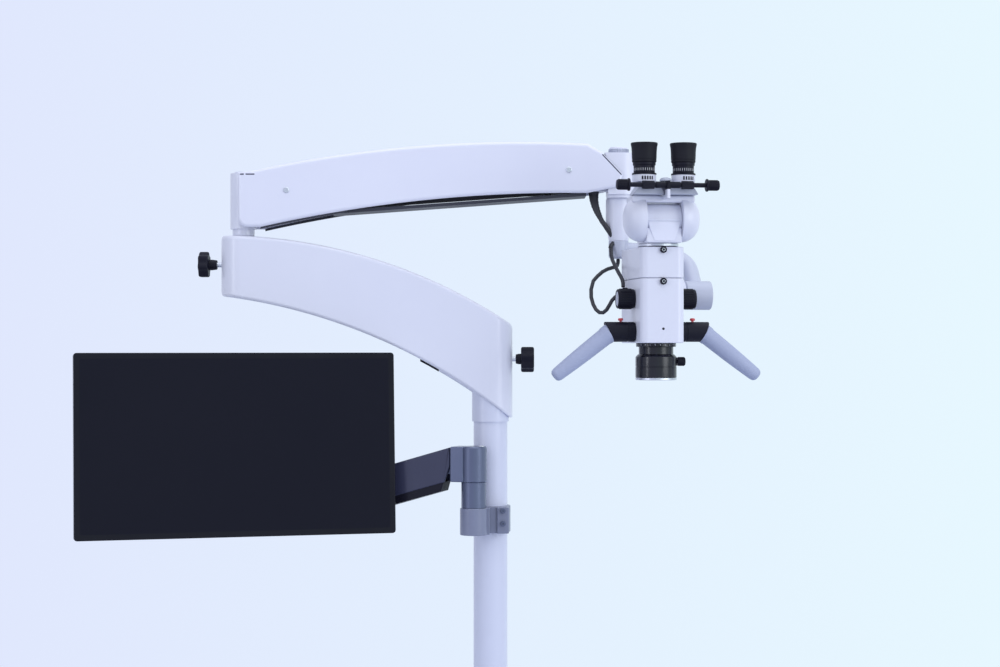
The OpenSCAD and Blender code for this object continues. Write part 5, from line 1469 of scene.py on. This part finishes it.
    def build_handle(self, side: Side) -> None:
        """Makes one handle: black joint, pale tapered grip and red button."""
        place = HEAD @ Matrix.Diagonal((side.value, 1, 1, 1))
        self.build_joint(side, place)
        body = "handle_" + side.word
        leave = self.joint_end - self.joint_r * math.tan(math.radians(self.fall))
        grip = place @ Matrix.Translation((leave, self.handle_y, self.handle_z))
        grip = grip @ Matrix.Rotation(math.radians(90 + self.fall), 4, "Y")
        shape = [(10.5, -8), (13.6, -2), (14.5, 3), (14.4, 10), (13.6, 12.5), (13.4, 22), (12.9, 50),
                 (12.1, 74), (11.1, 95), (10.5, 105), (9.2, 109), (6.4, 111.3), (2.4, 112)]
        Form().turned(shape, grip, 48).piece(body + "_grip", body, GRIP_GREY, "handle_grip_" + side.word)
        button = [(0, 9.2), (1.9, 9.2), (1.9, 17), (3.6, 17.1), (4.0, 17.7), (4.0, 19.6), (3.0, 20.8),
                  (0, 21.1)]
        Form().turned(button, place @ Matrix.Translation((56, self.handle_y, self.handle_z)), 40).piece(
            "release_" + side.word, "button_" + side.word, RED, "release_button_" + side.word)

    def build(self) -> None:
        """Builds the head."""
        self.build_body()
        self.build_screws()
        self.build_zoom()
        self.build_objective()
        for side in Side:
            self.build_handle(side)


# Binocular


@dataclass
class Binocular:
    """The tiltable binocular: hinge, tube slides, eyepieces and spacing bar.

    Attributes:
        foot_z: Height of its mount on the head.
        ring_y: Depth of the mount ring's middle.
        hinge_y: Depth of the tilt axis in the head's frame.
        hinge_z: Height of the tilt axis.
        eye_x: Distance of an eyepiece from the middle.
        eye_y: Depth of the eyepieces.
        ring_z: Height of the foot of a tube's ring.
        cup_z: Height of the foot of an eyepiece's cup.
        bar_y: Depth of the spacing bar.
        bar_z: Height of the spacing bar.
    """

    foot_z: float = 1588.0
    ring_y: float = -14.0
    hinge_y: float = -36.0
    hinge_z: float = 1630.0
    eye_x: float = 30.0
    eye_y: float = -54.0
    ring_z: float = 1684.8
    cup_z: float = 1714.2
    bar_y: float = -82.0
    bar_z: float = 1678.4

    def hinge(self, way: int = 1) -> Matrix:
        """Gives the tilt axis, with +Z to the right or, for a way of -1, to the left."""
        return along_x(HEAD, 0, self.hinge_y, self.hinge_z, way)

    def bar(self) -> Matrix:
        """Gives the spacing bar's axis, with +Z to the right."""
        return along_x(HEAD, 0, self.bar_y, self.bar_z)

    def build_base(self) -> None:
        """Makes the mount ring, the foot with its shield-shaped face and the hinge barrel."""
        ring = HEAD @ Matrix.Translation((0, self.ring_y, self.foot_z))
        Form().turned(disc(29.8, 0, 2), ring, 96).piece("mount_groove", "head", BLACK_PLASTIC,
                                                        "binocular_base")
        rim = [(0, 1.4), (30.4, 1.4), (31, 2), (31, 5.2), (30.2, 6), (0, 6)]
        Form().turned(rim, ring, 96).piece("mount_ring", "head", STEEL)
        foot = Form().block((-27.2, -58, 1593.8), (27.2, 12, 1616), HEAD, 2.0)
        foot.turned(sleeve(0, 23, -27.2, 27.2, 0.8), self.hinge(), 72)
        foot.block((-27, -59.6, 1626.4), (27, -50, 1630.4), HEAD, 0.8)
        foot.turned(disc(9.9, -50, 50), self.hinge(), 40)
        foot.piece("hinge_base", "head", HEAD_WHITE, sharp=34)
        right = [(15, 1596.4), (23, 1617), (24, 1624.6)]
        shield = [(-x, z) for x, z in reversed(right)] + right
        Form().slab(shield, 50, 59, facing_front(HEAD, 0, 0, 0), 0.5, 2, Rims.TOP).piece(
            "hinge_shield", "head", COVER_WHITE)

    def build_block(self) -> None:
        """Makes the two round cheeks, the bridge between them and the bar's bracket."""
        form = Form()
        cheek = [(10.2, 27.6), (34, 27.6), (34.5, 28.2), *arc(8.5, 31, 26, 0, 86.2, 16)]
        pin = [(0, 50.6), (10.3, 50.6), (10.3, 56.9), (6, 57), (0, 57)]
        for side in Side:
            axis = self.hinge(side.value)
            form.turned(cheek, axis, 96, hollow=True).turned(pin, axis, 40)
        form.block((-48, -56, 1654.3), (48, -8, 1665), HEAD, 3.0)
        form.block((-2.4, -88.8, 1658.2), (2.4, -54, 1664.8), HEAD, 0.8)
        form.block((-2.3, -88.7, 1660), (2.3, -73.3, 1672.4), HEAD, 0.8)
        form.piece("hinge_cheeks", "binocular", HEAD_WHITE, "binocular_block", sharp=34)
        bracket = Form().block((-2.5, -88.9, 1671.6), (2.5, -73.2, 1684.8), HEAD, 0.8)
        bracket.minus(Form().turned(disc(4.9, -8, 8), self.bar(), 32)).piece("bar_bracket", "binocular",
                                                                             BLACK_PLASTIC)
        dome = [(0, 0.6), (9, 0.6), (9, 1.8), (8.4, 3.6), (6.4, 5.1), (3.4, 5.9), (0, 6.1)]
        Form().turned(dome, HEAD @ Matrix.Translation((0, -66.4, self.ring_z)), 48).piece(
            "bridge_dome", "binocular", SHADED_WHITE)

    def build_tube(self, side: Side) -> None:
        """Makes one tube slide: wedge, ring with teeth, dark flange and the nut on the bar."""
        body = "tube_" + side.word
        place = HEAD @ Matrix.Diagonal((side.value, 1, 1, 1))
        wedge = [(4, 1665.3), (48.5, 1665.3), (48.5, 1667), (37, 1685), (13, 1685), (4, 1669)]
        Form().slab(wedge, 35, 72, facing_front(place, 0, 0, 0), 1.2, 3).piece(
            body + "_wedge", body, SHADED_WHITE, "eyepiece_tube_" + side.word)
        # The slide block shows in the gap between the wedges, finished in painted shade.
        Form().block((1.8, -69.5, 1665.4), (30, -36, 1684.6), place, 0.8).piece(body + "_slide", body,
                                                                                SLIDE_PAINTED_SHADE)
        eye = place @ Matrix.Translation((self.eye_x, self.eye_y, self.ring_z))
        ring = [(9, 0), (17.4, 0), (17.8, 0.6), (17.8, 10), (17.2, 10.7), (9, 10.7)]
        Form().turned(ring, eye, 72, hollow=True).piece(body + "_ring", body, HEAD_WHITE)
        rib_ring(body + "_teeth", body, BLACK_PLASTIC, raised(eye, 5.2), 5, 17.7, (0.7, 2.4, 5.4),
                 (side.value * 10 - 110, 50))
        flange = [(12.2, 10.6), (18.2, 10.6), (18.4, 11), (18.4, 12.6), (18, 13), (12.2, 13)]
        Form().turned(flange, eye, 72, hollow=True).piece(body + "_flange", body, BLACK_PLASTIC)
        nut = [(3.6, 20.4), (5.5, 20.4), (6.2, 21), (6.2, 38.6), (5.5, 39.4), (3.6, 39.4)]
        form = Form().turned(nut, along_x(place, 0, self.bar_y, self.bar_z), 6, hollow=True)
        form.block((22, -78, 1674), (38, -70, 1682.6), place, 1.0).piece(body + "_nut", body, BLACK_PLASTIC)

    def build_eyepiece(self, side: Side) -> None:
        """Makes one eyepiece: body with index marks, flared rubber cup and its lens."""
        body = "ocular_" + side.word
        eye = HEAD @ Matrix.Translation((side.value * self.eye_x, self.eye_y, self.cup_z))
        barrel = [(9, -26), (11.9, -26), (11.9, -16.2), (15.4, -16.2), (16, -15.6), (16, -5.2), (17.2, -4.2),
                  (17.2, -0.6), (16.4, 0.2), (9, 0.2)]
        Form().turned(barrel, eye, 72, hollow=True).piece(body + "_body", body, BLACK_PLASTIC,
                                                          "eyepiece_" + side.word)
        rib_ring(body + "_index", body, MARK_WHITE, raised(eye, -11), 30, 15.95, (0.3, 0.45, 4.0))
        cup = [(9.5, 0), (17.6, 0), (18.4, 0.8), (18.4, 3), (17.9, 3.5), (18.4, 4.1), (18.6, 6.8),
               (18.8, 15.8), (19.4, 22.8), (20.2, 26.4), (20.3, 28.1), (19.7, 29.2), (18.4, 29.3),
               (17.2, 27.8), (16.2, 22.8), (14.6, 16.8), (12.4, 13.8), (9.5, 12.8)]
        Form().turned(cup, eye, 72, hollow=True).piece(body + "_cup", body, SOFT_BLACK)
        lens = [(0, 7.8), (9.8, 7.8), (9.8, 10.4), (6, 11.6), (0, 12.2)]
        Form().turned(lens, eye, 48).piece(body + "_lens", body, LENS)

    def build_bar(self) -> None:
        """Turns the spacing bar with its flanges and ribbed end knobs."""
        half = [(4.8, 18.5), (3.5, 18.9), (3.5, 57.9), (9.0, 58), (9.5, 58.5), (9.5, 60.4), (9.0, 61),
                (7.4, 61.2), (7.4, 76.4), (6.9, 77.6), (6, 78), (0, 78)]
        profile = [(r, -z) for r, z in reversed(half)] + half
        Form().turned(profile, self.bar(), 48).piece("spacing_rod", "spacing", BLACK_PLASTIC, "spacing_bar")
        for side in Side:
            rib_ring("spacing_ribs_" + side.word, "spacing", BLACK_PLASTIC, raised(self.bar(),
                                                                                   side.value * 69), 20, 7.5,
                                                                                   (1.0, 1.2, 13))

    def build(self) -> None:
        """Builds the binocular."""
        self.build_base()
        self.build_block()
        for side in Side:
            self.build_tube(side)
            self.build_eyepiece(side)
        self.build_bar()


# Screen


@dataclass
class ScreenMount:
    """The screen with its tilting head, forearm, link and the clamp on the column.

    Attributes:
        width: Width of the screen.
        height: Height of the screen.
        thick: Thickness of its flat part.
        bezel: Width of its frame.
        yaw: How far it is turned.
        lean: How far it leans back.
        back: Distance of the tilt axis behind the screen's face.
        centre: The middle of its face.
        pan: Distance of the pan axis behind the face.
        post: Where the clamp's post stands.
        post_r: Radius of the post.
        knuckle_r: Radius of the knuckle.
        hinge_z: Height of the link's first hinge.
        fall: How far the link slopes down, in degrees.
        link_w: Half the link's width.
        clamp_low: Height of the clamp's underside.
        clamp_high: Height of its top.
    """

    width: float = 496.0
    height: float = 284.0
    thick: float = 14.0
    bezel: float = 9.0
    yaw: float = 16.0
    lean: float = 3.0
    back: float = 52.0
    centre: Point = (-388.6, -120.0, 1283.7)
    pan: float = 75.0
    post: Pair = (-26.0, -60.0)
    post_r: float = 19.6
    knuckle_r: float = 20.5
    hinge_z: float = 1251.6
    fall: float = 16.0
    link_w: float = 18.0
    clamp_low: float = 1142.0
    clamp_high: float = 1184.0

    def pan_place(self) -> Matrix:
        """Gives the pan axis, with +X along the screen's width."""
        turn = math.radians(self.yaw)
        x, y, _ = self.centre
        return at(x - self.pan * math.sin(turn), y + self.pan * math.cos(turn), 0, self.yaw)

    def tilt_place(self) -> Matrix:
        """Gives the tilt axis, with +Y to the screen's back and +Z up its face."""
        lean = Matrix.Rotation(-math.radians(self.lean), 4, "X")
        return self.pan_place() @ Matrix.Translation((0, self.back - self.pan, self.centre[2])) @ lean

    def build_case(self) -> None:
        """Makes the frame, the display glass, the rounded back and its vents."""
        place = facing_front(self.tilt_place(), 0, -self.back, 0)
        case = Form().slab(round_rect(self.width, self.height, 5), -self.thick, 0, place, 1.4)
        well = round_rect(self.width - 2 * self.bezel, self.height - 2 * self.bezel, 2.5)
        case.minus(Form().slab(well, -2.1, 3, place)).piece("screen_frame", "screen", BEZEL, "screen_case")
        paint("screen_glass", SCREEN_GLASS)
        back = Form().slab(round_rect(260, 180, 16), -36, -13, place, 9.0, 5)
        for x in (-21.4, 15.2):
            back.block((x, 34 - self.back, -12), (x + 6, 9, 12), self.tilt_place())
        back.piece("screen_bulge", "screen", SCREEN_BACK)
        vents = place @ Matrix.Translation((0, 58, -35.9))
        bar_grid("screen_vents", "screen", BLACK_PLASTIC, vents, (180, 24), (31, 3), (1.6, 9, 1.2))
        pin = along_x(self.tilt_place(), 0, 0, 0)
        Form().turned(rounded(4.9, -21, 21, 0.6), pin, 32).piece("tilt_pin", "screen", STEEL)

    def link_yaw(self) -> Matrix:
        """Gives the knuckle's axis, with +X along the link."""
        return at(*self.post, 0, 160)

    def link_place(self) -> Matrix:
        """Gives the side view of the link: +X runs down the link from its first hinge, and +Y points up."""
        fall = Matrix.Rotation(math.radians(self.fall), 4, "Y")
        return facing_front(self.link_yaw() @ Matrix.Translation((40, 0, self.hinge_z)) @ fall, 0, 0, 0)

    def build_link(self) -> None:
        """Makes the link: its grey casting, the black tray under it and the eyes of its hinges."""
        side = self.link_place()
        body = Form().slab(round_rect(205, 49, 3, 119.5, 0), -12.6, 12.6, side)
        plate = [(-5.4, -2.7), (10.4, -24.4), (11.4, -25), (222, -25), (222, 25), (-12.8, 25), (-13.3, 24.6)]
        for z0, z1 in ((-self.link_w, -12.4), (12.4, self.link_w)):
            body.slab(plate, z0, z1, side, 1.6)
        neck = [(218, -14), (250, -14), (250, 14), (218, 14)]
        for z0, z1 in ((-self.link_w, -13), (13, self.link_w)):
            body.slab(neck, z0, z1, side).slab(arc(250, 0, 14, 0, 352.5, 47), z0, z1, side, 0.6)
        body.turned(rounded(4.9, 0.2 - self.link_w, self.link_w - 0.2, 0.5), side, 32)
        body.piece("link_casting", "link", ARM_GREY, "screen_link", sharp=34)
        tray = [(13, -24), (13, -25.4), (20.5, -37.5), (190, -37.5), (190, -24)]
        Form().slab(tray, -17, 17, side, 1.2).piece("link_under_cover", "link", BLACK_PLASTIC)

    def build_knuckle(self) -> None:
        """Makes the knuckle that turns on the post, with its top cap screw."""
        place = self.link_yaw()
        r, low, high = self.knuckle_r, 1225.2, 1281
        ring = [(10.2, low), (r - 1.1, low), (r, low + 1.2), (r, high - 2.2), (r - 1.7, high), (10.2, high)]
        form = Form().turned(ring, place, 72, hollow=True)
        form.turned(disc(10.3, 1266, high - 0.1), place, 40)
        form.block((10.6, -19, low), (33, 19, high - 0.4), place, 2.0)
        z = self.hinge_z
        tongue = [(12, z - 14), (40, z - 14), *arc(40, z, 14, -80, 80, 16), (40, z + 14), (12, z + 14)]
        form.slab(tongue, -12.4, 12.4, facing_front(place, 0, 0, 0), 0.8)
        form.piece("knuckle_casting", "knuckle", KNUCKLE_GREY, "screen_knuckle", sharp=34)
        screw = place @ Matrix.Translation((-14, 4, high))
        Form().turned(rounded(5.2, -0.6, 1.6, 0.8), screw, 32).piece("knuckle_screw", "knuckle", ZINC)

    def build_clamp(self) -> None:
        """Makes the post, the clamp round the column and the two cap screws that close it."""
        r = self.post_r
        post = [(0, 1180), (r - 0.5, 1180), (r - 0.5, 1184.6), (r, 1185), (r, 1224.4), (r - 0.5, 1224.9),
                (10, 1224.9), (10, 1264.8), (0, 1264.8)]
        Form().turned(post, at(*self.post), 64).piece("screen_post", "stand", KNUCKLE_GREY)
        low, high = self.clamp_low, self.clamp_high
        form = Form().turned(sleeve(0, 21.6, low, high, 0.8), at(*self.post), 72)
        form.turned(sleeve(27.1, 32, low, high, 0.8), sides=72, hollow=True)
        form.block((-25.8, -59.8, low + 0.2), (-1, -27.5, high - 0.2))
        form.block((10.2, -43.8, low + 0.2), (29.4, -20.2, high - 0.2), bevel=1.6)
        form.block((-4, -40, low + 0.6), (12, -27.5, high - 0.6))
        form.piece("clamp_casting", "stand", CLAMP_GREY, "column_clamp", sharp=34)
        bolt = [(0, -12), (3, -12), (3, 0), (3.8, 0), (4.2, 0.4), (4.2, 3.4), (3.6, 4), (0, 4)]
        screw = Form().turned(bolt, sides=32).minus(Form().turned(disc(2.1, 2, 5), sides=6))
        on_points("clamp_cap_screws", "stand", KNUCKLE_GREY, screw, ((20, 1158, 0), (20, 1178.5, 0)),
                  facing_front(WORLD, 0, -44, 0), "clamp_bolts")

    def build(self) -> None:
        """Builds the screen and its arm, of which the forearm and the pan head keep their solids."""
        self.build_case()
        self.build_link()
        self.build_knuckle()
        self.build_clamp()
        paint("screen_forearm", ARM_GREY)
        paint("screen_pan_head", ARM_GREY)


# Cables


@dataclass
class Cables:
    """The three cables that run from the arm to the head, on listed routes in millimetres.

    Attributes:
        boot_r: Radius of the arm cable's boot at its top.
        arm_r: Radius of the arm's cable.
        hose_r: Radius of the two hoses of the head.
        rib: Depth of the boot's ribs.
    """

    boot_r: float = 9.0
    arm_r: float = 4.0
    hose_r: float = 3.0
    rib: float = 0.5

    def line(self, name: str, body: str, route: Sequence[Point], radius: float, node: str,
             fittings: Sequence[bpy.types.Object] = ()) -> None:
        """Args:
            name: The piece's name.
            body: The body that carries it.
            route: Its centreline, in millimetres.
            radius: Its radius.
            node: The CAD node that it stands for.
            fittings: The separate pieces on it; not used.
        """
        curve = bpy.data.curves.new(name, "CURVE")
        curve.dimensions = "3D"
        curve.bevel_depth = radius * METRE
        curve.bevel_resolution = 6
        curve.resolution_u = 4
        curve.use_fill_caps = True
        spline = curve.splines.new("POLY")
        spline.points.add(len(route) - 1)
        for point, place in zip(spline.points, route):
            point.co = (*(c * METRE for c in place), 1)
        thing = settle(new_object(name, curve), body, HOSE, (node,))

    def boot(self, route: Sequence[Point]) -> bpy.types.Object:
        """Makes the ribbed, tapered boot round the start of the arm's cable."""
        core = [Vector(p) for p in route[:6]]
        fine = [a.lerp(b, t / 4) for a, b in zip(core, core[1:]) for t in range(4)] + [core[-1]]
        last = len(fine) - 1
        taper = self.arm_r + 0.6 - self.boot_r
        radii = [self.boot_r + taper * i / last - self.rib * (i % 2) for i in range(last + 1)]
        return Form().tube(fine, radii, sides=28).piece("arm_lead_boot", "arm_end", HOSE)

    def build(self) -> None:
        """Lays the arm's cable, the head's cable and the hanging loop."""
        arm = [(165, 0, 1684.9), (165, 0, 1680), (165.5, -1.4, 1671.5), (167.4, -4, 1662),
               (170.6, -7, 1652.5), (174.4, -9.6, 1644), (178.2, -12, 1636.5), (182.4, -13.8, 1631)]
        head = [(192.6, -15.2, 1600), (191.6, -18.6, 1592), (191.7, -25, 1583), (193.2, -33.5, 1574.5),
                (195.8, -44, 1567), (198.6, -55.5, 1559.5), (201.3, -66.5, 1552.6), (204, -77, 1546.6),
                (205.8, -84.4, 1541.6), (206.6, -89.2, 1536), (206.6, -91, 1530.4)]
        loop = [(204, -3, 1575.9), (203.6, -7, 1571.2), (202, -14, 1566.6), (198.6, -23.5, 1563.8),
                (193, -32.5, 1562.4), (185.5, -40.5, 1560), (177, -47.5, 1555.5), (168.9, -53.5, 1548.6),
                (161.7, -59.5, 1540.5), (158, -65, 1527), (158, -70, 1514.5), (160.8, -74.5, 1503.5),
                (165, -78.3, 1495.4), (170.3, -81.5, 1490.6), (176, -84.2, 1490.4), (181.2, -86.8, 1494.8),
                (185.5, -88.8, 1502), (189.4, -90.4, 1509.4), (194.2, -91.6, 1514.4), (199, -92.2, 1517),
                (202.1, -91.75, 1517.3)]
        self.line("arm_lead", "arm_end", arm, self.arm_r, "arm_cable", [self.boot(arm)])
        self.line("head_lead", "carrier", head, self.hose_r, "head_cable")
        self.line("loop_lead", "carrier", loop, self.hose_r, "loop_cable")
        ends = (
            ("arm_lead_end", "arm_end", [arm[-1], (186.6, -12.2, 1624.8), (194.5, -8, 1614)], self.arm_r),
            ("head_lead_end", "carrier", [head[0], (193.6, -13.4, 1602.6), (197.4, -9, 1604)], self.hose_r),
        )
        for name, body, points, radius in ends:
            route = soft_route(points, 10)
            Form().tube(route, [radius + 0.15] * len(route), sides=32).piece(name, body, HOSE)


def main() -> None:
    """Builds the studio and the microscope in order."""
    logging.basicConfig(level=logging.INFO, format="%(name)s: %(message)s")
    studio = Studio()
    studio.set_camera()
    Cables().build()
    studio.light()
    studio.lay_floor()
    for part in (Stand(), LowerArm(), UpperArm(), Suspension(), MicroscopeHead(), Binocular(), ScreenMount()):
        part.build()
        LOG.info("%s is built", type(part).__name__)


if __name__ == "__main__":
    main()
